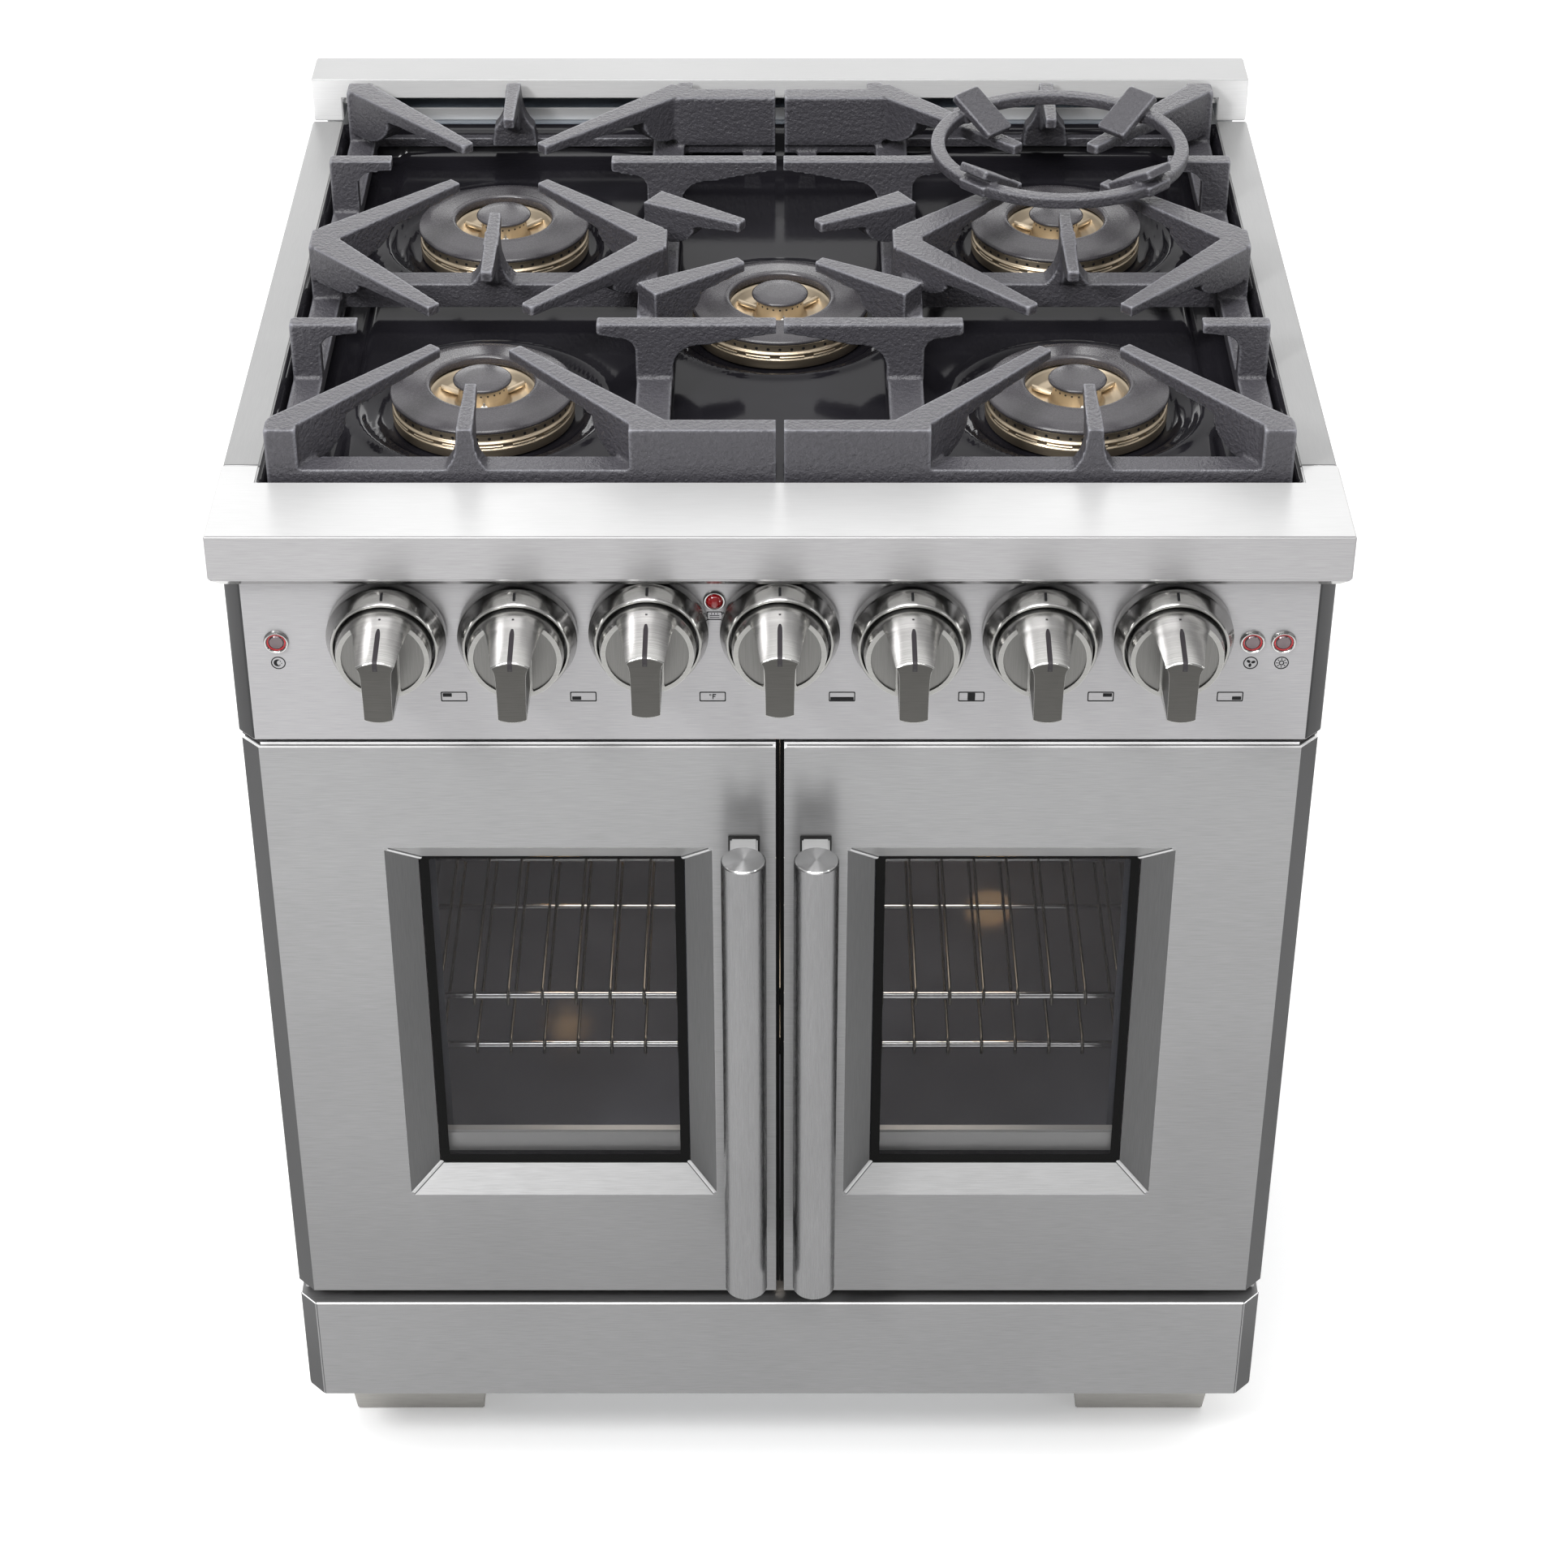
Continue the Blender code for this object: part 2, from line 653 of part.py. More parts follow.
def knobs():
    """Turned knobs with a flat grip left between two scooped sides; burner knobs sit on sprung stems."""
    reach = PANEL_FRONT + KNOB_REACH
    profile = [
        (0.0, reach),
        (0.0235, reach),
        (0.0241, reach - 0.001),
        (0.0296, 0.0400),
        (0.0308, 0.0350),
        (0.0324, 0.0260),
        (0.0324, 0.0045),
        (0.0, 0.0045),
    ]
    for name, step in KNOBS.items():
        x, h = knob_place(name, step)
        z = rise(h)
        centre = (x, back(PANEL_FRONT), z)
        knob = turned("knob_" + name, profile, 24, centre, forward=True, finish=STEEL)
        scoops = []
        for side in (-1, 1):
            across = sorted((x + side * KNOB_GRIP_HALF, x + side * 0.05))
            deep = (-0.07, PANEL_FRONT - KNOB_SCOOP_FLOOR)
            scoops.append(box(f"scoop_{name}_{side}", across, deep, (h - 0.05, h + 0.05)))
        cut(knob, *scoops)
        if name in OVEN_KNOBS:
            join(knob, rod("shaft_" + name, STEM_RADIUS, (x, back(0.0), z), (x, back(0.034), z), 12))
            continue
        bore_ends = (x, back(-0.010), z), (x, back(0.03), z)
        cut(knob, rod("knob_bore_" + name, STEM_RADIUS + GAP, *bore_ends, 12))
        rod("valve_stem_" + name, STEM_RADIUS, (x, back(-0.0095), z), (x, back(0.044), z), 12, STEEL)


def push_buttons():
    for name, x in BUTTONS.items():
        z = rise(BUTTON_HEIGHT)
        ends = (x, back(PANEL_FRONT - 0.0018), z), (x, back(0.030), z)
        rod("button_" + name, BUTTON_RADIUS, *ends, 12, BRIGHT)


def indicator_lamp():
    x, h = LAMP_PLACE
    profile = [
        (0.0, 0.0045),
        (0.0040, 0.0038),
        (0.0062, 0.0020),
        (0.0068, GAP),
        (0.0040, GAP),
        (0.0040, -0.0120),
        (0.0, -0.0120),
    ]
    centre = (x, back(PANEL_FRONT), rise(h))
    turned("indicator_lamp", profile, 20, centre, forward=True, finish=RED)


def gas_manifold():
    """The supply pipe: in through the back, along the right side and across to five valves."""
    line_d = 0.060
    z = rise(PIPE_HEIGHT)
    corner = (PIPE_X, back(line_d), z)
    pipe = rod("gas_manifold", PIPE_RADIUS, (-0.30, back(line_d), z), corner, 16, GALVANISED)
    elbow = box(
        "elbow",
        (PIPE_X - 0.014, PIPE_X + 0.012),
        (line_d - 0.012, line_d + 0.014),
        (PIPE_HEIGHT - 0.012, PIPE_HEIGHT + 0.012),
    )
    join(pipe, elbow, rod("inlet_run", PIPE_RADIUS, corner, (PIPE_X, back(GUARD_BACK), z), 16))
    valves, bores = [], []
    for name, step in KNOBS.items():
        if name in OVEN_KNOBS:
            continue
        x, h = knob_place(name, step)
        valves.append(box("valve_" + name, (x - 0.011, x + 0.011), (0.036, 0.064), (-0.115, h + 0.011)))
        bore_ends = (x, back(0.03), rise(h)), (x, back(0.050), rise(h))
        bores.append(rod("valve_bore_" + name, STEM_RADIUS + 0.0005, *bore_ends, 12))
    join(pipe, *valves)
    cut(pipe, *bores)


def mirrored(x, sign):
    return sorted((sign * x[0], sign * x[1]))


def doors():
    for side, sign in (("left", -1), ("right", 1)):
        door_frame(side, sign)
        door_liner(side, sign)
        glass_d = DOOR_FRONT + RECESS_DEPTH + GAP
        box(
            "door_glass_" + side,
            mirrored((WINDOW_X[0] + GAP, WINDOW_X[1] - GAP), sign),
            (glass_d, glass_d + GLASS),
            (WINDOW_H[0] + GAP, WINDOW_H[1] - GAP),
            GLASS_TINT,
        )
        door_handle(side, sign)


def door_frame(side, sign):
    """The outer shell of a door: a folded pan with a bevelled window recess."""
    half, corner, t = BODY_HALF, CORNER, SHEET
    outline = [
        (DOOR_GAP, DOOR_FRONT),
        (half - corner, DOOR_FRONT),
        (half, DOOR_FRONT + corner),
        (half, DOOR_BACK),
        (DOOR_GAP, DOOR_BACK),
    ]
    inside = [
        (DOOR_GAP + t, DOOR_FRONT + t),
        (half - corner - 0.4 * t, DOOR_FRONT + t),
        (half - t, DOOR_FRONT + corner + 0.4 * t),
        (half - t, DOOR_BACK + 0.01),
        (DOOR_GAP + t, DOOR_BACK + 0.01),
    ]
    outline = [(sign * x, d) for x, d in outline]
    inside = [(sign * x, d) for x, d in inside]
    frame = prism("door_frame_" + side, outline, (DOOR_BOTTOM, DOOR_TOP), STEEL)
    cut(frame, prism("frame_inside_" + side, inside, (DOOR_BOTTOM + t, DOOR_TOP - t)))
    surround = box(
        "surround_" + side,
        mirrored((RECESS_X[0] - t, RECESS_X[1] + t), sign),
        (DOOR_FRONT + 0.001, DOOR_FRONT + RECESS_DEPTH + GLASS + 0.003),
        (RECESS_H[0] - t, RECESS_H[1] + t),
    )
    join(frame, surround)
    bevel = recess(
        "recess_" + side,
        (mirrored(RECESS_X, sign), RECESS_H),
        (mirrored(WINDOW_X, sign), WINDOW_H),
        (DOOR_FRONT, DOOR_FRONT + RECESS_DEPTH),
    )
    mouth = box("recess_mouth_" + side, mirrored(RECESS_X, sign), (0.0, DOOR_FRONT + 0.00001), RECESS_H)
    through = box("window_" + side, mirrored(WINDOW_X, sign), (0.03, 0.07), WINDOW_H)
    cut(frame, bevel, mouth, through)


def door_liner(side, sign):
    """The inner pan that closes the back of a door, with its own window opening."""
    x, h = (0.0055, 0.368), (DOOR_BOTTOM + 0.005, DOOR_TOP - 0.005)
    liner = box("door_liner_" + side, mirrored(x, sign), (DOOR_BACK + GAP, LINER_BACK), h, LINING)
    inside = (x[0] + SHEET, x[1] - SHEET)
    hollow = box(
        "liner_hollow_" + side,
        mirrored(inside, sign),
        (0.05, LINER_BACK - SHEET),
        (h[0] + SHEET, h[1] - SHEET),
    )
    opening = (WINDOW_X[0] + 0.008, WINDOW_X[1] - 0.008)
    tall = (WINDOW_H[0] + 0.008, WINDOW_H[1] - 0.008)
    cut(liner, hollow, box("liner_window_" + side, mirrored(opening, sign), (0.05, 0.09), tall))


def door_handle(side, sign):
    x, y = sign * HANDLE_X, back(HANDLE_D)
    ends = (x, y, rise(HANDLE_H[0])), (x, y, rise(HANDLE_H[1]))
    handle = rod("door_handle_" + side, HANDLE_RADIUS, *ends, 32, STEEL)
    posts = []
    inset = 0.013
    for label, top in (("upper", HANDLE_H[1] - inset), ("lower", HANDLE_H[0] + inset + POST[1])):
        posts.append(
            box(
                f"handle_post_{label}_{side}",
                (x - POST[0] / 2, x + POST[0] / 2),
                (HANDLE_D, DOOR_FRONT - GAP),
                (top - POST[1], top),
            )
        )
    join(handle, *posts)


def body_panels():
    top = PANEL_TOP - GAP
    for side, sign in (("left", -1), ("right", 1)):
        x = mirrored((BODY_HALF - SHEET, BODY_HALF), sign)
        box("side_panel_" + side, x, (FRAME_FRONT, BODY_BACK), (KICK_BOTTOM, top), STEEL)
    inner = BODY_HALF - SHEET - GAP
    rear = box(
        "back_panel", (-inner, inner), (BODY_BACK - SHEET, BODY_BACK), (KICK_BOTTOM, PAN_TOP), GALVANISED
    )
    z = rise(PIPE_HEIGHT)
    cut(rear, rod("pipe_hole", PIPE_RADIUS + 0.0015, (PIPE_X, back(0.67), z), (PIPE_X, back(0.72), z), 16))
    box(
        "base_pan",
        (-inner, inner),
        (FRAME_FRONT, BODY_BACK - SHEET - GAP),
        (KICK_BOTTOM, KICK_BOTTOM + SHEET),
        GALVANISED,
    )
    kick = prism("kick_panel", chamfered_outline(DOOR_FRONT, 0.080), (KICK_BOTTOM, KICK_TOP), STEEL)
    inside = chamfered_outline(DOOR_FRONT + SHEET, 0.090, BODY_HALF - SHEET, CORNER - 0.001)
    cut(kick, prism("kick_inside", inside, (KICK_BOTTOM - 0.01, KICK_TOP - SHEET)))


def legs():
    """Tapered box feet, open at the top, wider where they meet the base."""
    wall = 0.003
    top = KICK_BOTTOM - GAP
    floor = -RIM_HEIGHT
    for side, sign in (("left", -1), ("right", 1)):
        for row, at in LEG_D.items():
            low = (mirrored(LEG_X, sign), (at, at + LEG_DEPTH))
            wide = (LEG_X[0] - LEG_SPREAD, LEG_X[1] + LEG_SPREAD)
            deep = (at - LEG_SPREAD / 2, at + LEG_DEPTH + LEG_SPREAD / 2)
            leg = taper(f"leg_{row}_{side}", low, (mirrored(wide, sign), deep), (floor, top), STEEL)
            inner_low = (
                mirrored((LEG_X[0] + wall, LEG_X[1] - wall), sign),
                (at + wall, at + LEG_DEPTH - wall),
            )
            inner_high = (
                mirrored((wide[0] + wall, wide[1] - wall), sign),
                (deep[0] + wall, deep[1] - wall),
            )
            cut(leg, taper(f"leg_inside_{row}_{side}", inner_low, inner_high, (floor + wall, top + 0.001)))


def oven_liner():
    """The cavity with its face frame, rack ledges on both sides and the fan shaft's hole."""
    x, t = CAVITY_HALF, SHEET
    face_x = BODY_HALF - SHEET - GAP
    face_d, face_h = (FRAME_FRONT, FRAME_FRONT + t), (DOOR_BOTTOM, DOOR_TOP)
    liner = box("oven_liner", (-face_x, face_x), face_d, face_h, LINING)
    shell = box(
        "liner_shell",
        (-x - t, x + t),
        (FRAME_FRONT + 0.001, CAVITY_BACK + t),
        (CAVITY_BOTTOM - t, CAVITY_TOP + t),
    )
    cavity = box("cavity", (-x, x), (0.05, CAVITY_BACK), (CAVITY_BOTTOM, CAVITY_TOP))
    hole_z = rise(FAN_H)
    hole = rod("fan_hole", 0.008, (0, back(0.58), hole_z), (0, back(0.63), hole_z), 16)
    join(liner, shell)
    cut(liner, cavity, hole)
    ledges = []
    for label, height in RACK_HEIGHTS.items():
        for side, sign in (("left", -1), ("right", 1)):
            span = mirrored((RACK_HALF - 0.006, x + 0.001), sign)
            top = height - 0.003 - GAP
            ledges.append(box(f"rack_ledge_{label}_{side}", span, (0.110, 0.560), (top - 0.006, top)))
    join(liner, *ledges)


def racks():
    """Wire racks: a heavier rim with thinner wires running front to back."""
    rim, wire = 0.003, 0.0015
    count = 2 * int(RACK_HALF / RACK_PITCH) - 1
    for label, height in RACK_HEIGHTS.items():
        name = "oven_rack_" + label
        front, rear = RACK_D
        span = (height - rim, height + rim)
        pieces = [
            box(name + "_front", (-RACK_HALF, RACK_HALF), (front - rim, front + rim), span),
            box(name + "_rear", (-RACK_HALF, RACK_HALF), (rear - rim, rear + rim), span),
            box(name + "_left", (-RACK_HALF, 2 * rim - RACK_HALF), (front, rear), span),
            box(name + "_right", (RACK_HALF - 2 * rim, RACK_HALF), (front, rear), span),
        ]
        for number in range(count):
            x = (number - (count - 1) / 2) * RACK_PITCH
            place = (height, height + 2 * wire)
            pieces.append(box(f"{name}_wire_{number}", (x - wire, x + wire), (front, rear), place))
        join_all(name, pieces, CHROME)


def convection_fan():
    z = rise(FAN_H)
    cover = [
        (0.025, 0.038),
        (0.088, 0.038),
        (0.095, 0.031),
        (0.095, GAP),
        (0.092, GAP),
        (0.092, 0.030),
        (0.086, 0.036),
        (0.025, 0.036),
    ]
    turned("fan_cover", cover, 18, (0, back(CAVITY_BACK), z), forward=True, finish=LINING, closed=True)
    blade = rod("fan_blade", 0.012, (0, back(0.576), z), (0, back(0.590), z), 16, CHROME)
    blades = []
    for number in range(6):
        turn = Matrix.Rotation(math.radians(60 * number), 4, "Y")
        vane = box(f"fan_vane_{number}", (0.008, 0.072), (0.576, 0.590), (FAN_H - 0.001, FAN_H + 0.001))
        centre = Matrix.Translation((0, 0, z))
        vane.data.transform(centre @ turn @ centre.inverted())
        blades.append(vane)
    shaft = rod("fan_shaft", 0.004, (0, back(0.585), z), (0, back(0.640), z), 12)
    join(blade, shaft, *blades)
    motor = rod("fan_motor", 0.034, (0, back(0.6065), z), (0, back(0.655), z), 24, GALVANISED)
    cut(motor, rod("motor_bore", 0.0045, (0, back(0.60), z), (0, back(0.645), z), 12))


def bake_burner():
    z = rise(CAVITY_BOTTOM - 0.030)
    half, front, rear = 0.17, back(0.14), back(0.52)
    tube(
        "bake_burner",
        [(-half, front, z), (-half, rear - 0.03, z), (0.03 - half, rear, z), (half - 0.03, rear, z)]
        + [(half, rear - 0.03, z), (half, front, z)],
        0.010,
        GALVANISED,
    )


def shade_round_pieces():
    for obj in RANGE.objects:
        obj.data.shade_smooth()
        obj.data.set_sharp_from_angle(angle=math.radians(30))


worktop_edges()
back_guard()
cooktop_pan()
burners()
grates()
wok_ring()
control_panel()
knobs()
push_buttons()
indicator_lamp()
gas_manifold()
doors()
body_panels()
legs()
oven_liner()
racks()
convection_fan()
bake_burner()
shade_round_pieces()
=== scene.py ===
"""The looks of a freestanding gas range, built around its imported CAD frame.

Metres, in the CAD's own frame. The range is laid out as it is in the CAD: back() is a distance behind the
front of the worktop ledge, rise() a height over the worktop rim, and both start from the ledge's own box.
"""

import json
import math

import bmesh
import bpy
from mathutils import Matrix, Vector


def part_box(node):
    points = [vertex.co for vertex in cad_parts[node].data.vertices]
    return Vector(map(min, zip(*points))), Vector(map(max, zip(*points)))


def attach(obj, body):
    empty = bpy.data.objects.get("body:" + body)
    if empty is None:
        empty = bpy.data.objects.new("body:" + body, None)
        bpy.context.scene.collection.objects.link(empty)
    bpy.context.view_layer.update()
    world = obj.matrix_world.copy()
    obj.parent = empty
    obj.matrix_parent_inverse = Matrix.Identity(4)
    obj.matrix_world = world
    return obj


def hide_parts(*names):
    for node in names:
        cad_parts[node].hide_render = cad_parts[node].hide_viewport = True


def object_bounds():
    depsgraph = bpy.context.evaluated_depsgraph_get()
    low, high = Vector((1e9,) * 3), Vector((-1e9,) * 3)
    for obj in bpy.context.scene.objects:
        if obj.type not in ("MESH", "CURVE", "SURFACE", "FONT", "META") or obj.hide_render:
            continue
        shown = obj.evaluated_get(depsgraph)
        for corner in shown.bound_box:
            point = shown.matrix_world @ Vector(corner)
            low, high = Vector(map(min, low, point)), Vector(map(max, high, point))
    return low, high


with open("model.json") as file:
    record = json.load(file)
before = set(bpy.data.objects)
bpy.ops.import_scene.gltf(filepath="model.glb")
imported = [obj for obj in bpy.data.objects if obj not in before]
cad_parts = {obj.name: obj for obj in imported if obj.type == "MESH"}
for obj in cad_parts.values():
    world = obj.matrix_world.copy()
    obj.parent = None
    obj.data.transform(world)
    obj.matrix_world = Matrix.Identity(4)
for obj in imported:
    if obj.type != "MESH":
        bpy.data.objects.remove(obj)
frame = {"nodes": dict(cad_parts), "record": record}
CAD_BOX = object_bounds()
NODES = frame["nodes"]

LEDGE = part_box("front_ledge")
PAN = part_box("cooktop_pan")
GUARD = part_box("back_guard")
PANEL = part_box("control_panel")
RIM = LEDGE[1].z
BEZEL_DEPTH = 0.0225
PANEL_Y = PANEL[0].y + BEZEL_DEPTH
DOOR_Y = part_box("door_frame_left")[0].y
SIDES = (("left", -1), ("right", 1))
BURNERS = ("front_left", "rear_left", "centre", "front_right", "rear_right")
KNOBS = ("rear_left", "front_left", "oven_temp", "oven_mode", "centre", "rear_right", "front_right")
BUTTONS = ("timer", "fan", "light")


def back(distance):
    return LEDGE[0].y + distance


def rise(height):
    return RIM + height


def middle(node, y=None):
    """The middle of a node, or the point of a front at y over it."""
    low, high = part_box(node)
    spot = (low + high) / 2
    if y is not None:
        spot.y = y
    return spot


# ---------------------------------------------------------------- finishes


def map_range(nodes, low, high, smooth=False):
    """A Map Range node that runs from one (input, output) pair to another."""
    node = nodes.new("ShaderNodeMapRange")
    for socket, value in zip(("From Min", "To Min", "From Max", "To Max"), (*low, *high)):
        node.inputs[socket].default_value = value
    if smooth:
        node.interpolation_type = "SMOOTHSTEP"
    return node


class Finish:
    """A Principled material with the few procedural nodes that the finishes here are made of."""

    def __init__(self, name, **values):
        self.material = bpy.data.materials.new(name)
        self.material.use_nodes = True
        self.nodes = self.material.node_tree.nodes
        self.shader = self.nodes["Principled BSDF"]
        self.place = self.nodes.new("ShaderNodeTexCoord").outputs["Object"]
        self.height = None
        for socket, value in values.items():
            self.set(socket.replace("_", " "), value)

    def set(self, socket, value):
        if isinstance(value, tuple) and len(value) == 3:
            value = (*value, 1.0)
        self.shader.inputs[socket].default_value = value

    def link(self, source, target):
        self.material.node_tree.links.new(source, target)

    def painted_height_shade(self, low, high):
        """A factor from one (height, level) to another: painted shade that darkens a tall front towards the
        floor and lightens it towards its top.
        """
        apart = self.nodes.new("ShaderNodeSeparateXYZ")
        self.link(self.place, apart.inputs["Vector"])
        span = map_range(self.nodes, low, high)
        self.link(apart.outputs["Z"], span.inputs["Value"])
        return span.outputs["Result"]

    def noise(self, stretch, detail=3.0, roughness=0.5):
        """Noise with about this many features in a metre, the same on each axis or one number for each."""
        mapping = self.nodes.new("ShaderNodeMapping")
        mapping.inputs["Scale"].default_value = (stretch,) * 3 if isinstance(stretch, float) else stretch
        texture = self.nodes.new("ShaderNodeTexNoise")
        texture.inputs["Scale"].default_value = 1.0
        texture.inputs["Detail"].default_value = detail
        texture.inputs["Roughness"].default_value = roughness
        self.link(self.place, mapping.inputs["Vector"])
        self.link(mapping.outputs["Vector"], texture.inputs["Vector"])
        return texture.outputs["Fac"]

    def cells(self, scale):
        texture = self.nodes.new("ShaderNodeTexVoronoi")
        texture.inputs["Scale"].default_value = scale
        self.link(self.place, texture.inputs["Vector"])
        return texture.outputs["Color"]

    def ramp(self, source, *stops):
        """A colour ramp from (place, grey or colour) stops."""
        ramp = self.nodes.new("ShaderNodeValToRGB")
        elements = ramp.color_ramp.elements
        while len(elements) < len(stops):
            elements.new(0.5)
        for element, (place, value) in zip(elements, stops):
            element.position = place
            element.color = (*value, 1.0) if isinstance(value, tuple) else (value, value, value, 1.0)
        self.link(source, ramp.inputs["Fac"])
        return ramp.outputs["Color"]

    def shades(self, source, colour, dark, light, start=0.30, end=0.70):
        """The colour from a dark share of it to a light one, as the source rises from start to end."""
        return self.ramp(source, (start, tinted(colour, dark)), (end, tinted(colour, light)))

    def mix(self, kind, amount, first, second):
        mix = self.nodes.new("ShaderNodeMix")
        mix.data_type = "RGBA"
        mix.blend_type = kind
        if isinstance(amount, float):
            mix.inputs["Factor"].default_value = amount
        else:
            self.link(amount, mix.inputs["Factor"])
        self.link(first, mix.inputs[6])
        self.link(second, mix.inputs[7])
        return mix.outputs[2]

    def colour(self, source):
        self.link(source, self.shader.inputs["Base Color"])
        return self

    def rough(self, source, low, high):
        spread = map_range(self.nodes, (0.0, low), (1.0, high))
        self.link(source, spread.inputs["Value"])
        self.link(spread.outputs["Result"], self.shader.inputs["Roughness"])
        return self

    def bump(self, source, strength, depth):
        bump = self.nodes.new("ShaderNodeBump")
        bump.inputs["Strength"].default_value = strength
        bump.inputs["Distance"].default_value = depth
        self.link(source, bump.inputs["Height"])
        if self.height is not None:
            self.link(self.height, bump.inputs["Normal"])
        self.height = bump.outputs["Normal"]
        self.link(self.height, self.shader.inputs["Normal"])
        return self

    def tangent(self, axis):
        node = self.nodes.new("ShaderNodeTangent")
        node.direction_type = "RADIAL"
        node.axis = axis
        self.link(node.outputs["Tangent"], self.shader.inputs["Tangent"])
        return self

    def edges(self, colour, wear_and_highlight, start, end):
        """A lighter colour on the convex edges of a casting: partly wear, partly a painted highlight."""
        pointed = self.nodes.new("ShaderNodeNewGeometry").outputs["Pointiness"]
        return self.mix("MIX", self.ramp(pointed, (start, 0.0), (end, 1.0)), colour, wear_and_highlight)


def tinted(colour, share):
    """A colour, or a plain grey level, times a share."""
    channels = colour if isinstance(colour, tuple) else (colour,) * 3
    return tuple(channel * share for channel in channels)


def brushed(name, colour, roughness, axis, anisotropy=0.55, metal=1.0, contrast=0.12, fall=None, **values):
    """Brushed metal: fine grain along an axis, broad smudges, and highlights spread across it; with fall,
    painted shade from one height to another.
    """
    finish = Finish(name, Metallic=metal, Anisotropic=anisotropy, **values)
    grain = 2600.0
    stretch = [grain, grain, grain]
    stretch["XYZ".index(axis)] = grain / 45
    fine = finish.noise(stretch, detail=2.0)
    broad = finish.noise(9.0, detail=4.0)
    grey = finish.shades(fine, colour, 1 - contrast, 1 + contrast / 2)
    cloud = finish.ramp(broad, (0.30, 0.94), (0.70, 1.0))
    # Painted shade: with fall given, the colour is multiplied by a factor that is darker towards the floor
    # and lighter higher up.
    if fall:
        grey = finish.mix("MULTIPLY", 1.0, grey, finish.painted_height_shade(*fall))
    finish.colour(finish.mix("MULTIPLY", 1.0, grey, cloud))
    finish.rough(fine, roughness - 0.04, roughness + 0.05)
    return finish.bump(fine, 0.05, 0.00003).tangent(axis).material


def spun(name, colour, roughness, axis, anisotropy=0.6, contrast=0.12):
    """Metal turned on a lathe: its rings only vary along the axis, and it shines across them."""
    finish = Finish(name, Metallic=1.0, Anisotropic=anisotropy, Anisotropic_Rotation=0.25)
    stretch = [6.0, 6.0, 6.0]
    stretch["XYZ".index(axis)] = 1400.0
    fine = finish.noise(stretch, detail=2.0)
    grey = finish.shades(fine, colour, 1 - contrast, 1 + contrast / 2)
    finish.colour(grey).rough(fine, roughness - 0.03, roughness + 0.05)
    return finish.bump(fine, 0.08, 0.00006).tangent(axis).material


def enamel(name, colour, roughness):
    finish = Finish(name, Specular_IOR_Level=0.13)
    broad = finish.noise(14.0)
    base = finish.shades(broad, colour, 1.0, 1.35, start=0.35)
    finish.colour(base).rough(broad, roughness * 0.7, roughness * 1.3)
    return finish.bump(finish.noise(150.0, detail=1.0), 0.05, 0.0004).material


def casting(name, colour, wear_and_highlight, roughness, pebble, edge):
    """Cast iron: a pebbled skin whose convex edges are lighter, from one pointiness to another: partly wear,
    partly a painted highlight.
    """
    finish = Finish(name, Specular_IOR_Level=0.60)
    fine = finish.noise(900.0, roughness=0.6)
    grit = finish.noise(330.0, roughness=0.65)
    base = finish.shades(grit, colour, 0.86, 1.14, end=0.72)
    light = finish.shades(fine, wear_and_highlight, 0.8, 1.0)
    finish.colour(finish.edges(base, light, *edge)).rough(fine, roughness - 0.08, roughness + 0.08)
    finish.bump(grit, pebble, 0.0014)
    return finish.bump(fine, pebble * 0.5, 0.00025).material


def moulded(name, colour, roughness, grain=700.0, **values):
    finish = Finish(name, **values)
    fine = finish.noise(grain, detail=2.0)
    finish.colour(finish.shades(fine, colour, 0.85, 1.15))
    return finish.rough(fine, roughness * 0.85, roughness * 1.15).bump(fine, 0.08, 0.0001).material


def glowing(name, colour, strength):
    finish = Finish(name, Roughness=0.25, Emission_Strength=strength)
    tone = finish.shades(finish.noise(400.0), colour, 0.6, 1.0)
    finish.link(tone, finish.shader.inputs["Emission Color"])
    return finish.colour(tone).material


def galvanised(name, colour):
    finish = Finish(name, Metallic=1.0)
    cells = finish.cells(90.0)
    grey = finish.shades(cells, colour, 0.80, 1.15, 0.10, 0.90)
    finish.colour(grey).rough(cells, 0.38, 0.55)
    return finish.bump(finish.noise(300.0), 0.05, 0.0002).material


def window_glass(name):
    finish = Finish(name, Alpha=0.30, IOR=1.5, Specular_IOR_Level=0.22)
    smear = finish.noise((7.0, 7.0, 3.0), detail=4.0)
    finish.colour(finish.ramp(smear, (0.35, (0.010, 0.009, 0.009)), (0.75, (0.022, 0.021, 0.022))))
    return finish.rough(smear, 0.02, 0.06).material


TRIM = brushed("worktop_steel", 0.53, 0.36, "X", 0.5, 0.35, contrast=0.05)
GUARD_STEEL = brushed("guard_steel", 0.37, 0.36, "X", 0.5, 0.35, contrast=0.05)
GUARD_FRONT_PAINTED_LIGHT_STEEL = brushed("guard_front_painted_light_steel", 0.70, 0.36, "X", 0.5, 0.25, contrast=0.05)
TRIM_SIDE = brushed("worktop_side_steel", 0.30, 0.36, "Y", 0.5, 0.45, contrast=0.05)
LEDGE_FRONT_PAINTED_SHADE_STEEL = brushed("ledge_front_painted_shade_steel", (0.35, 0.345, 0.35), 0.34, "X", 0.6, 0.7)
# Painted highlight: folded edges glow faintly white, over a pale and mostly diffuse steel.
PAINTED_HIGHLIGHT_STEEL = brushed("folded_edge_painted_highlight", 0.95, 0.30, "X", 0.3, 0.12, Emission_Strength=0.25,
                     Emission_Color=(1.0, 1.0, 1.0))
PANEL_STEEL = brushed("panel_steel", (0.335, 0.331, 0.338), 0.34, "X", 0.65, 0.65)
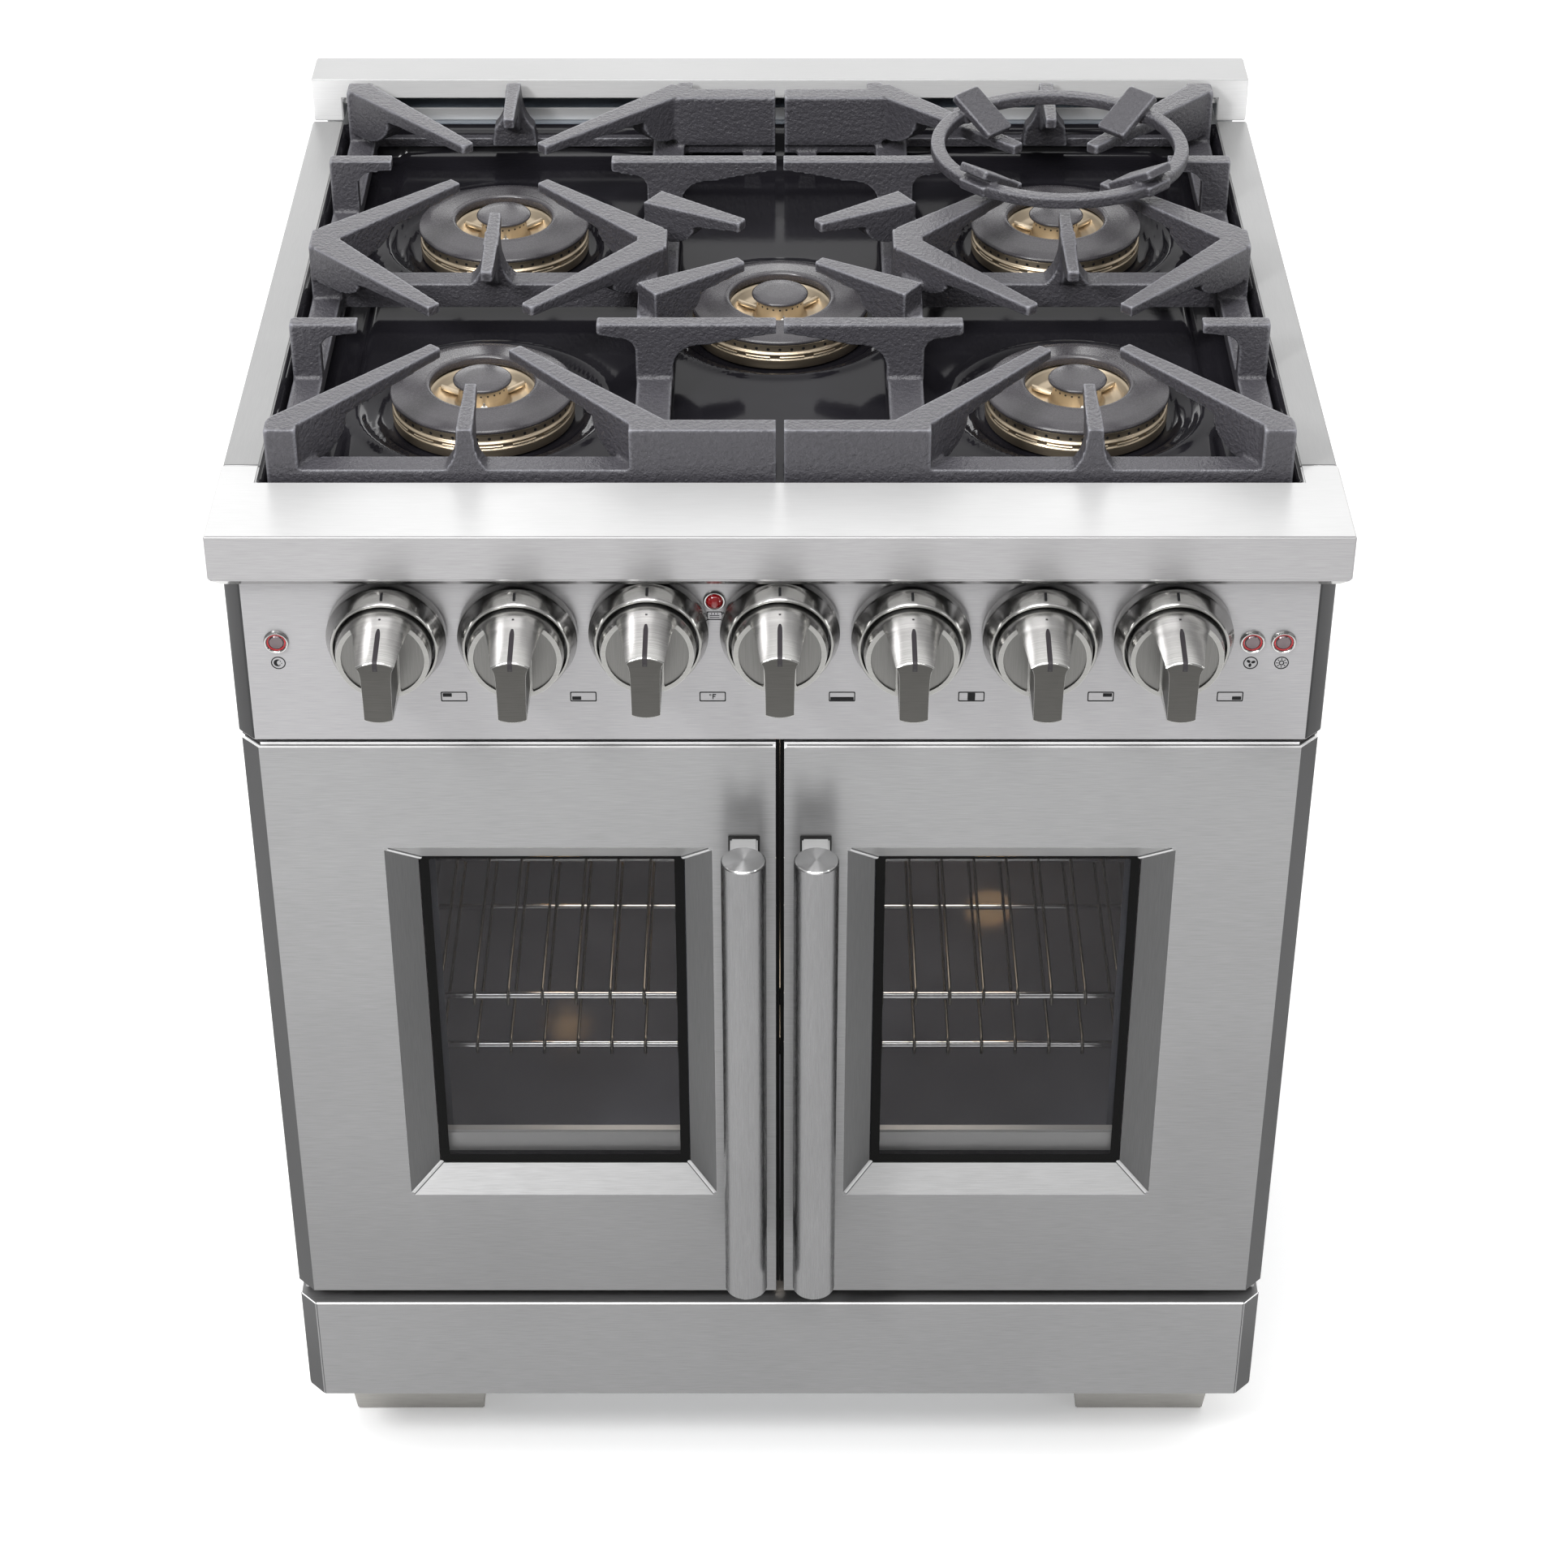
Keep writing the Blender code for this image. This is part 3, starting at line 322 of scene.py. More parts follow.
# Painted shade and light on the doors: darker towards the floor, lighter towards their tops.
DOOR_PAINTED_SHADE = ((0.215, 0.76), (0.731, 1.16))
DOOR_STEEL = brushed("door_steel", (0.244, 0.244, 0.246), 0.34, "X", 0.65, 0.65, fall=DOOR_PAINTED_SHADE)
KICK_STEEL = brushed("kick_steel", (0.222, 0.222, 0.224), 0.34, "X", 0.65, 0.65)
# Painted shade: a near-black copy of the front steel for the chamfers at the ends of the fronts.
CHAMFER_PAINTED_SHADE_STEEL = brushed("chamfer_painted_shade_steel", (0.044, 0.044, 0.045), 0.36, "X", 0.5)
# Painted light and shade: a pale copy of the steel for the level slopes round a window, a dark one for the
# upright slopes.
RECESS_PAINTED_LIGHT_STEEL = brushed("recess_painted_light_steel", (0.60, 0.60, 0.602), 0.30, "X", 0.4, 0.8)
REVEAL_PAINTED_SHADE_STEEL = brushed("recess_side_painted_shade_steel", (0.090, 0.090, 0.091), 0.34, "Z", 0.4, 0.8)
SIDE_STEEL = brushed("side_steel", (0.46, 0.46, 0.465), 0.32, "Y")
LEG_STEEL = brushed("leg_steel", (0.42, 0.41, 0.39), 0.38, "X")
HANDLE_STEEL = brushed("handle_steel", (0.190, 0.190, 0.192), 0.26, "Z", 0.6)
CAP_STEEL = spun("handle_cap_steel", 0.90, 0.24, "Z", 0.95)
KNOB_STEEL = spun("knob_steel", (0.54, 0.535, 0.52), 0.18, "Y", 0.9, 0.14)
BEZEL_STEEL = spun("bezel_steel", (0.45, 0.446, 0.438), 0.15, "Y", 0.8)
SCOOP_STEEL = brushed("scoop_steel", (0.150, 0.148, 0.142), 0.36, "Z", 0.3)
RIM_STEEL = brushed("rim_steel", (0.30, 0.297, 0.285), 0.36, "X", 0.3)
GRIP_STEEL = brushed("grip_steel", (0.082, 0.080, 0.075), 0.42, "X", 0.2)
BUTTON_STEEL = spun("button_steel", (0.14, 0.115, 0.12), 0.24, "Y")
CHROME = spun("rack_chrome", (0.88, 0.88, 0.90), 0.12, "X", 0.1)
# Painted shade: a dim, warm copy of the rack chrome for the long wires deep in the oven.
WIRE_PAINTED_SHADE_CHROME = spun("rack_wire_painted_shade", (0.16, 0.145, 0.125), 0.22, "X", 0.1)
ZINC = galvanised("zinc_sheet", (0.42, 0.43, 0.44))
FLUE_STEEL = brushed("flue_steel", (0.34, 0.37, 0.41), 0.34, "X")
SCREW_STEEL = spun("screw_steel", 0.5, 0.3, "Y")
BLACK = enamel("cooktop_enamel", (0.0085, 0.0080, 0.0100), 0.09)
LINING = enamel("oven_enamel", (0.084, 0.088, 0.108), 0.10)
# Lighter greys for the convex edges of the castings: partly wear, partly painted highlight.
EDGE_WEAR_AND_HIGHLIGHT_GREY = (0.22, 0.22, 0.245)
CAP_EDGE_WEAR_AND_HIGHLIGHT_GREY = (0.10, 0.105, 0.130)
IRON = casting("cast_iron", (0.052, 0.050, 0.058), EDGE_WEAR_AND_HIGHLIGHT_GREY, 0.38, 1.0, (0.515, 0.57))
CAP_IRON = casting("burner_cap", (0.046, 0.043, 0.048), CAP_EDGE_WEAR_AND_HIGHLIGHT_GREY, 0.27, 0.04, (0.56, 0.70))
BRASS = spun("burner_brass", (0.62, 0.52, 0.385), 0.38, "Z", 0.2, 0.05)
# Near-black for small dark marks and, as painted shade, for holes, slots and openings.
PAINTED_SHADE_AND_DARK_MARK = moulded("painted_shade_and_dark_marks", (0.012, 0.012, 0.013), 0.45)
BORDER = moulded("window_border", 0.004, 0.30, Specular_IOR_Level=0.04)
PRINT = moulded("black_print", (0.012, 0.012, 0.013), 0.55, Specular_IOR_Level=0.1)
INLAY = moulded("pointer_inlay", (0.018, 0.015, 0.018), 0.45, Specular_IOR_Level=0.3)
RUBBER = moulded("gasket_rubber", 0.010, 0.7)
CERAMIC = moulded("igniter_ceramic", (0.72, 0.70, 0.66), 0.35)
LENS = moulded("red_lens", (0.17, 0.0015, 0.003), 0.10, grain=300.0, Coat_Weight=0.35)
RED_GLOW = glowing("red_glow", (0.42, 0.006, 0.012), 0.16)
WARM_GLOW = glowing("lamp_glow", (1.0, 0.62, 0.28), 14.0)
WINDOW = window_glass("window_glass")

# ---------------------------------------------------------------- shapes


def piece(name, bm, finishes, body="root", stands_for=(), sharp=32, normals=True):
    """Makes the object, shades it, and lets it ride on its CAD body."""
    mesh = bpy.data.meshes.new(name)
    if normals:
        bmesh.ops.recalc_face_normals(bm, faces=bm.faces)
    bm.to_mesh(mesh)
    bm.free()
    for finish in finishes if isinstance(finishes, (list, tuple)) else (finishes,):
        mesh.materials.append(finish)
    mesh.shade_smooth()
    mesh.set_sharp_from_angle(angle=math.radians(sharp))
    obj = bpy.data.objects.new(name, mesh)
    bpy.context.scene.collection.objects.link(obj)
    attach(obj, body)
    if stands_for:
        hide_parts(*stands_for)
    return obj


def turned(name, profile, place, steps, finish, body="root", stands_for=(), sharp=32, closed=False):
    """A piece that is one turned profile."""
    bm = bmesh.new()
    revolve(bm, profile, place, steps, closed)
    piece(name, bm, finish, body, stands_for, sharp)


def applied(obj):
    """Turns the object's modifiers into its mesh."""
    graph = bpy.context.evaluated_depsgraph_get()
    mesh = bpy.data.meshes.new_from_object(obj.evaluated_get(graph))
    obj.modifiers.clear()
    obj.data = mesh
    return obj


def arc(centre, radius, start, end, steps):
    """Points on an arc, with its ends, from start to end degrees."""
    turns = [math.radians(start + (end - start) * step / steps) for step in range(steps + 1)]
    return [(centre[0] + radius * math.cos(turn), centre[1] + radius * math.sin(turn)) for turn in turns]


def rounded(points, radius, steps=3, closed=True):
    """An outline whose corners are rounded; radius is one number or one for each corner."""
    made = []
    count = len(points)
    for number, point in enumerate(points):
        corner = Vector(point)
        size = radius[number] if isinstance(radius, (list, tuple)) else radius
        if size == 0 or (not closed and number in (0, count - 1)):
            made.append(tuple(corner))
            continue
        before = Vector(points[number - 1]) - corner
        after = Vector(points[(number + 1) % count]) - corner
        reach = min(size, before.length * 0.49, after.length * 0.49)
        first, last = corner + before.normalized() * reach, corner + after.normalized() * reach
        for step in range(steps + 1):
            share = step / steps
            made.append(tuple(first.lerp(corner, share).lerp(corner.lerp(last, share), share)))
    return made


def rectangle(width, height, radius, steps=4, centre=(0.0, 0.0)):
    x, z = width / 2, height / 2
    corners = [(-x, -z), (x, -z), (x, z), (-x, z)]
    return rounded([(centre[0] + u, centre[1] + v) for u, v in corners], radius, steps)


def circle(radius, steps=32, centre=(0.0, 0.0)):
    return arc(centre, radius, 0, 360 * (1 - 1 / steps), steps - 1)


def facing(centre):
    """A place whose own Z axis points to the front, as a knob's reach does."""
    return Matrix.Translation(centre) @ Matrix.Rotation(math.pi / 2, 4, "X")


def revolve(bm, profile, place, steps=96, closed=False):
    """Turns (radius, height) points about the place's Z axis."""
    rings = []
    for radius, height in profile:
        if radius < 1e-6:
            rings.append([bm.verts.new(place @ Vector((0, 0, height)))])
            continue
        ring = []
        for step in range(steps):
            turn = 2 * math.pi * step / steps
            spot = Vector((radius * math.cos(turn), radius * math.sin(turn), height))
            ring.append(bm.verts.new(place @ spot))
        rings.append(ring)
    pairs = list(zip(rings, rings[1:])) + ([(rings[-1], rings[0])] if closed else [])
    for first, second in pairs:
        for step in range(steps):
            after = (step + 1) % steps
            corners = [first[step % len(first)], first[after % len(first)]]
            corners += [second[after % len(second)], second[step % len(second)]]
            corners = list(dict.fromkeys(corners))
            if len(corners) > 2:
                bm.faces.new(corners)


def skin(bm, rings, material=0, capped=True, looped=False):
    """Faces between rings with the same number of points, from each ring to the next."""
    for first, second in zip(rings, rings[1:] + (rings[:1] if looped else [])):
        for number in range(len(first)):
            after = (number + 1) % len(first)
            corners = (first[number], first[after], second[after], second[number])
            bm.faces.new(corners).material_index = material
    if capped:
        bm.faces.new(rings[0][::-1]).material_index = material
        bm.faces.new(rings[-1]).material_index = material


def edge_bevel(bm, edges, size, segments=2):
    made = bmesh.ops.bevel(bm, geom=edges, offset=size, segments=segments, affect="EDGES", clamp_overlap=True)
    return made["faces"]


def block(bm, low, high, bevel):
    """A rounded block between two corners, given as (x, distance back, height over the rim)."""
    low = Vector((low[0], back(low[1]), rise(low[2])))
    high = Vector((high[0], back(high[1]), rise(high[2])))
    solid_block(bm, low, high, bevel)


def solid_block(bm, low, high, bevel=0.0, material=0):
    """A rounded block between two corners in the CAD's frame."""
    corners = [Vector((min(a, b), max(a, b))) for a, b in zip(low, high)]
    size = Matrix.Diagonal([c[1] - c[0] for c in corners]).to_4x4()
    place = Matrix.Translation([(c[0] + c[1]) / 2 for c in corners])
    made = bmesh.ops.create_cube(bm, size=1.0, matrix=place @ size)["verts"]
    faces = {face for vert in made for face in vert.link_faces}
    for face in faces:
        face.material_index = material
    if bevel:
        edge_bevel(bm, list({edge for vert in made for edge in vert.link_edges}), bevel)


def prism(bm, outline, low, high, place, material=0, bevel=0.0):
    """An outline in the place's XY plane, extruded between two heights along its Z axis."""
    bottom = [bm.verts.new(place @ Vector((x, y, low))) for x, y in outline]
    top = [bm.verts.new(place @ Vector((x, y, high))) for x, y in outline]
    ends = [bm.faces.new(bottom[::-1]), bm.faces.new(top)]
    for face in ends:
        face.material_index = material
    skin(bm, [bottom, top], material, capped=False)
    if bevel:
        edge_bevel(bm, [edge for face in ends for edge in face.edges], bevel)


def ring_plate(bm, outer, inner, low, high, place):
    """A flat ring between two outlines with the same number of points."""
    loops = []
    for outline, height in ((outer, low), (outer, high), (inner, high), (inner, low)):
        loops.append([bm.verts.new(place @ Vector((x, y, height))) for x, y in outline])
    skin(bm, loops, capped=False, looped=True)


def rod(bm, start, end, radius, sides, material=0):
    start, end = Vector(start), Vector(end)
    turn = Vector((0, 0, 1)).rotation_difference(end - start).to_matrix().to_4x4()
    made = bmesh.ops.create_cone(
        bm,
        cap_ends=True,
        segments=sides,
        radius1=radius,
        radius2=radius,
        depth=(end - start).length,
        matrix=Matrix.Translation((start + end) / 2) @ turn,
    )["verts"]
    for face in {face for vert in made for face in vert.link_faces}:
        face.material_index = material


def wire(bm, points, radius, sides=10, material=0):
    """A round wire through points, with flat ends."""
    points = [Vector(point) for point in points]
    rings = []
    side = None
    for number, point in enumerate(points):
        before = points[max(number - 1, 0)]
        after = points[min(number + 1, len(points) - 1)]
        along = (after - before).normalized()
        side = along.orthogonal() if side is None else side - along * side.dot(along)
        side.normalize()
        up = along.cross(side)
        turns = [2 * math.pi * step / sides for step in range(sides)]
        rings.append([bm.verts.new(point + radius * (side * math.cos(t) + up * math.sin(t))) for t in turns])
    skin(bm, rings, material)


def from_node(node, bevel, segments=2, first=None, rim=0):
    """A CAD node's own shape with whole flat faces and rounded folds, which take the finish numbered rim."""
    bm = bmesh.new()
    bm.from_mesh(NODES[node].data)
    bmesh.ops.remove_doubles(bm, verts=bm.verts, dist=0.00001)
    bmesh.ops.dissolve_limit(bm, angle_limit=math.radians(1), verts=bm.verts, edges=bm.edges)
    for face in bm.faces:
        face.material_index = 0
    if first:
        first(bm, node)
    folds = [edge for edge in bm.edges if len(edge.link_faces) == 2 and edge.calc_face_angle() > 0.35]
    for face in edge_bevel(bm, folds, bevel, segments):
        face.material_index = rim
    return bm


FLAT = 12  # degrees: folded sheet keeps its flats flat, and its small bevels faceted


# ---------------------------------------------------------------- worktop


def ledge_return(bm, node):
    """The polished fold under the front of the ledge."""
    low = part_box(node)[0]
    edges = []
    for edge in bm.edges:
        if all(vert.co.y < low.y + 0.001 and vert.co.z < low.z + 0.001 for vert in edge.verts):
            edges.append(edge)
    edge_bevel(bm, edges, 0.0026, 1)


def worktop():
    bm = from_node("front_ledge", 0.0010, 3, ledge_return)
    for face in bm.faces:
        if face.normal.y < -0.6 and face.calc_center_median().y < LEDGE[0].y + 0.002:
            face.material_index = 1  # the ledge's front, a darker copy of the worktop steel: painted shade
        elif face.normal.z < -0.3 and face.normal.y < -0.3:
            face.material_index = 2  # its polished return
    finishes = (TRIM, LEDGE_FRONT_PAINTED_SHADE_STEEL, BEZEL_STEEL)
    piece("ledge", bm, finishes, stands_for=["front_ledge"], sharp=FLAT)
    for side, _ in SIDES:
        node = "side_trim_" + side
        piece("trim_" + side, from_node(node, 0.0010, 3), TRIM_SIDE, stands_for=[node])
    bm = from_node("back_guard", 0.0010, 3)
    # Painted light: the guard's faces that don't face up take a brighter copy of its steel.
    for face in bm.faces:
        face.material_index = 0 if face.normal.z > 0.5 else 1
    finishes = (GUARD_STEEL, GUARD_FRONT_PAINTED_LIGHT_STEEL)
    piece("guard", bm, finishes, stands_for=["back_guard"], sharp=FLAT)
    flue()


def flue():
    """Behind the guard's window: a dark slot over a blue-grey duct plate and its folded lip."""
    half = PAN[1].x - 0.004
    front = GUARD[0].y - LEDGE[0].y
    bm = bmesh.new()
    block(bm, (-half, front + 0.030, -0.004), (half, front + 0.032, 0.018), 0.0004)
    block(bm, (-half, front + 0.004, -0.006), (half, front + 0.030, -0.004), 0.0004)
    piece("flue_plate", bm, FLUE_STEEL)
    bm = bmesh.new()
    block(bm, (-half, front + 0.0105, -0.004), (half, front + 0.0125, 0.0065), 0.0005)
    piece("flue_lip", bm, TRIM)


def swell(size, offset, width):
    """The height of a rounded ridge at an offset from its crest."""
    return size * math.exp(-((offset / width) ** 2))


def pan_height(x, d):
    """The pressed shape of the cooktop pan: side gutters, five dished wells with a lip, and raised rims."""
    floor = PAN[0].z - RIM + 0.012
    gutter = smooth_step(0.303, 0.309, abs(x)) * 0.004
    height = floor - gutter
    for well_x, well_d in WELLS:
        reach = math.hypot(x - well_x, d - well_d) - WELL_RADIUS
        if reach < 0.016:
            lip = swell(0.0016, reach - 0.003, 0.0035)
            ring = swell(0.0010, reach + 0.0085, 0.0018)
            upper_step = smooth_step(0.0, -0.006, reach) * 0.0048
            lower_step = smooth_step(-0.010, -0.018, reach) * 0.0049
            dished = floor + lip - upper_step - lower_step + ring
            height = max(height, floor + lip) if reach > 0 else dished
    low_d, high_d = PAN[0].y - LEDGE[0].y, PAN[1].y - LEDGE[0].y
    wall = max(
        smooth_step(0.010, 0.0, d - low_d),
        smooth_step(0.014, 0.0, high_d - d),
        smooth_step(0.009, 0.0, PAN[1].x - abs(x)),
    )
    return height + (PAN[1].z - RIM - height) * wall


def smooth_step(start, end, value):
    share = min(max((value - start) / (end - start), 0.0), 1.0)
    return share * share * (3 - 2 * share)


CAP_MIDDLES = [middle("burner_cap_" + burner_name) for burner_name in BURNERS]
WELLS = [(spot.x, spot.y - LEDGE[0].y) for spot in CAP_MIDDLES]
WELL_RADIUS = 0.088


def cooktop():
    """The pan as a fine height field, closed underneath by its own sheet thickness."""
    cell = 0.0034
    low, high = PAN
    columns = round((high.x - low.x) / cell)
    rows = round((high.y - low.y) / cell)
    bm = bmesh.new()
    grid = []
    for row in range(rows + 1):
        y = low.y + (high.y - low.y) * row / rows
        line = []
        for column in range(columns + 1):
            x = low.x + (high.x - low.x) * column / columns
            line.append(bm.verts.new((x, y, rise(pan_height(x, y - LEDGE[0].y)))))
        grid.append(line)
    for first, second in zip(grid, grid[1:]):
        for column in range(columns):
            bm.faces.new((first[column], first[column + 1], second[column + 1], second[column]))
    pan = piece("pan", bm, BLACK, stands_for=["cooktop_pan"], sharp=80)
    sheet = pan.modifiers.new("Sheet", "SOLIDIFY")
    sheet.thickness = 0.0012
    sheet.offset = -1.0
    applied(pan)
    pan.data.shade_smooth()


# ---------------------------------------------------------------- burners


def burner(name):
    """A ported brass body with its centre flame ring, a loose ring cap, a domed centre cap and an igniter."""
    low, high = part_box("burner_cap_" + name)
    centre = Vector(((low.x + high.x) / 2, (low.y + high.y) / 2, high.z))
    place = Matrix.Translation(centre)
    outer = high.x - centre.x
    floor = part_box("burner_base_" + name)[0].z - high.z
    hole = 0.0372
    bm = bmesh.new()
    body = [
        (hole + 0.0006, -0.0110), (hole + 0.0006, -0.0075), (outer - 0.0036, -0.0070),
        (outer - 0.0028, -0.0080), (outer - 0.0028, -0.0132), (outer - 0.0012, -0.0142),
        (outer - 0.0010, -0.0152), (outer - 0.0022, -0.0158), (outer - 0.0022, -0.0184),
        (outer - 0.0010, -0.0190), (outer - 0.0014, -0.0262), (outer - 0.0070, -0.0268),
        (outer - 0.0075, floor),
    ]
    revolve(bm, rounded(body, 0.0006, 2, closed=False), place)
    dish = [
        (hole + 0.0006, -0.0075), (hole - 0.0008, -0.0085), (hole - 0.0050, -0.0135),
        (0.0270, -0.0155), (0.0200, -0.0155), (0.0180, -0.0130),
        (0.0172, -0.0050), (0.0172, 0.0008), (0.0, 0.0008),
    ]
    revolve(bm, rounded(dish, 0.0012, 2, closed=False), place)
    ports(bm, centre, outer - 0.0028, -0.0110, 46, 0.0012)
    ports(bm, centre, 0.0172, -0.0030, 22, 0.0008)
    for rib in range(3):
        turn = math.radians(35 + 120 * rib)
        direction = Vector((math.cos(turn), math.sin(turn), 0))
        start = centre + direction * 0.019 + Vector((0, 0, -0.0138))
        end = centre + direction * (hole - 0.003) + Vector((0, 0, -0.0118))
        wire(bm, [start, end], 0.0021, 8)
    dashes = 16
    for dash in range(dashes):
        turns = [math.radians(dash * 360 / dashes + step * 3.2) for step in range(6)]
        reach = outer - 0.0020
        run = [centre + Vector((reach * math.cos(t), reach * math.sin(t), -0.0171)) for t in turns]
        wire(bm, run, 0.0009, 6)
    slot = "burner_brass"
    piece(name + "_brass", bm, (BRASS, PAINTED_SHADE_AND_DARK_MARK), stands_for=["burner_base_" + name], sharp=40)
    cap = [
        (hole, -0.0004), (hole + 0.0020, 0.0008), (hole + 0.0042, 0.0),
        (outer - 0.0090, -0.0016), (outer - 0.0012, -0.0036), (outer, -0.0052),
        (outer - 0.0008, -0.0068), (hole + 0.0010, -0.0068), (hole - 0.0004, -0.0050),
    ]
    slot, node = "burner_cap_enamel", "burner_cap_" + name
    cap = rounded(cap, 0.0014, 3)
    turned(name + "_cap", cap, place, 96, CAP_IRON, stands_for=[node], sharp=50, closed=True)
    small = [(0.0, 0.0052), (0.0120, 0.0049), (0.0196, 0.0040)]
    small += [(0.0212, 0.0026), (0.0204, 0.0010), (0.0, 0.0009)]
    small = rounded(small, 0.0010, 2, closed=False)
    turned(name + "_centre_cap", small, place, 96, CAP_IRON, sharp=50)
    igniter(name, centre)


def ports(bm, centre, reach, height, count, radius):
    """Flame ports: short dark plugs that stand a hair out of the ring, painted shade where the real ports are
    open holes.
    """
    for number in range(count):
        turn = 2 * math.pi * (number + 0.5) / count
        direction = Vector((math.cos(turn), math.sin(turn), 0))
        foot = centre + Vector((0, 0, height))
        rod(bm, foot + direction * (reach - 0.001), foot + direction * (reach + 0.00012), radius, 8, 1)


def igniter(name, centre):
    turn = math.radians(-84)
    foot = centre + Vector((0.0285 * math.cos(turn), 0.0285 * math.sin(turn), -0.0135))
    bm = bmesh.new()
    stub = [(0.0, 0.0090), (0.0022, 0.0088), (0.0026, 0.0080), (0.0026, 0.0)]
    revolve(bm, stub, Matrix.Translation(foot), 20)
    rod(bm, foot + Vector((0, 0, 0.0085)), foot + Vector((0, 0, 0.0115)), 0.0007, 8, 1)
    piece(name + "_igniter", bm, (CERAMIC, SCREW_STEEL))


# ---------------------------------------------------------------- grates


def cast_bar(bm, start, end, widths, top, under):
    """A cast bar along a plan line; under lists (distance from its start, height of its underside)."""
    start, end = Vector((start[0], back(start[1]))), Vector((end[0], back(end[1])))
    along = (end - start).normalized()
    side = Vector((-along.y, along.x))
    length = (end - start).length
    rings = []
    for reach, low in under:
        reach = min(reach, length)
        half = (widths[0] + (widths[1] - widths[0]) * reach / length) / 2
        centre = start + along * reach
        corners = [(-half, low), (half, low), (half, top), (-half, top)]
        rings.append([bm.verts.new((*(centre + side * across), rise(height))) for across, height in corners])
    skin(bm, rings)


def arched(root, reach, low, high, tip, length):
    """An underside that stays low for the root, sweeps up over the reach and thins out towards the tip."""
    sweep = [
        (root + reach * math.sin(turn), low + (high - low) * (1 - math.cos(turn)))
        for turn in (math.radians(15 * step) for step in range(7))
    ]
    return [(0.0, low)] + sweep + [(length, tip)]


def tower(bm, levels):
    """A stack of rectangles: each level is (height, x centre, half width, nearer d, farther d)."""
    rings = []
    for height, x, half, near, far in levels:
        corners = [(x - half, near), (x + half, near), (x + half, far), (x - half, far)]
        rings.append([bm.verts.new((u, back(d), rise(height))) for u, d in corners])
    skin(bm, rings)


def wall_plate(bm, outline, near, far):
    """A plate standing across the range: an (x, height) outline between two distances back."""
    points = [(x, rise(height)) for x, height in outline]
    turn = Matrix(((1, 0, 0, 0), (0, 0, 1, 0), (0, 1, 0, 0), (0, 0, 0, 1)))
    prism(bm, points, back(near), back(far), turn)


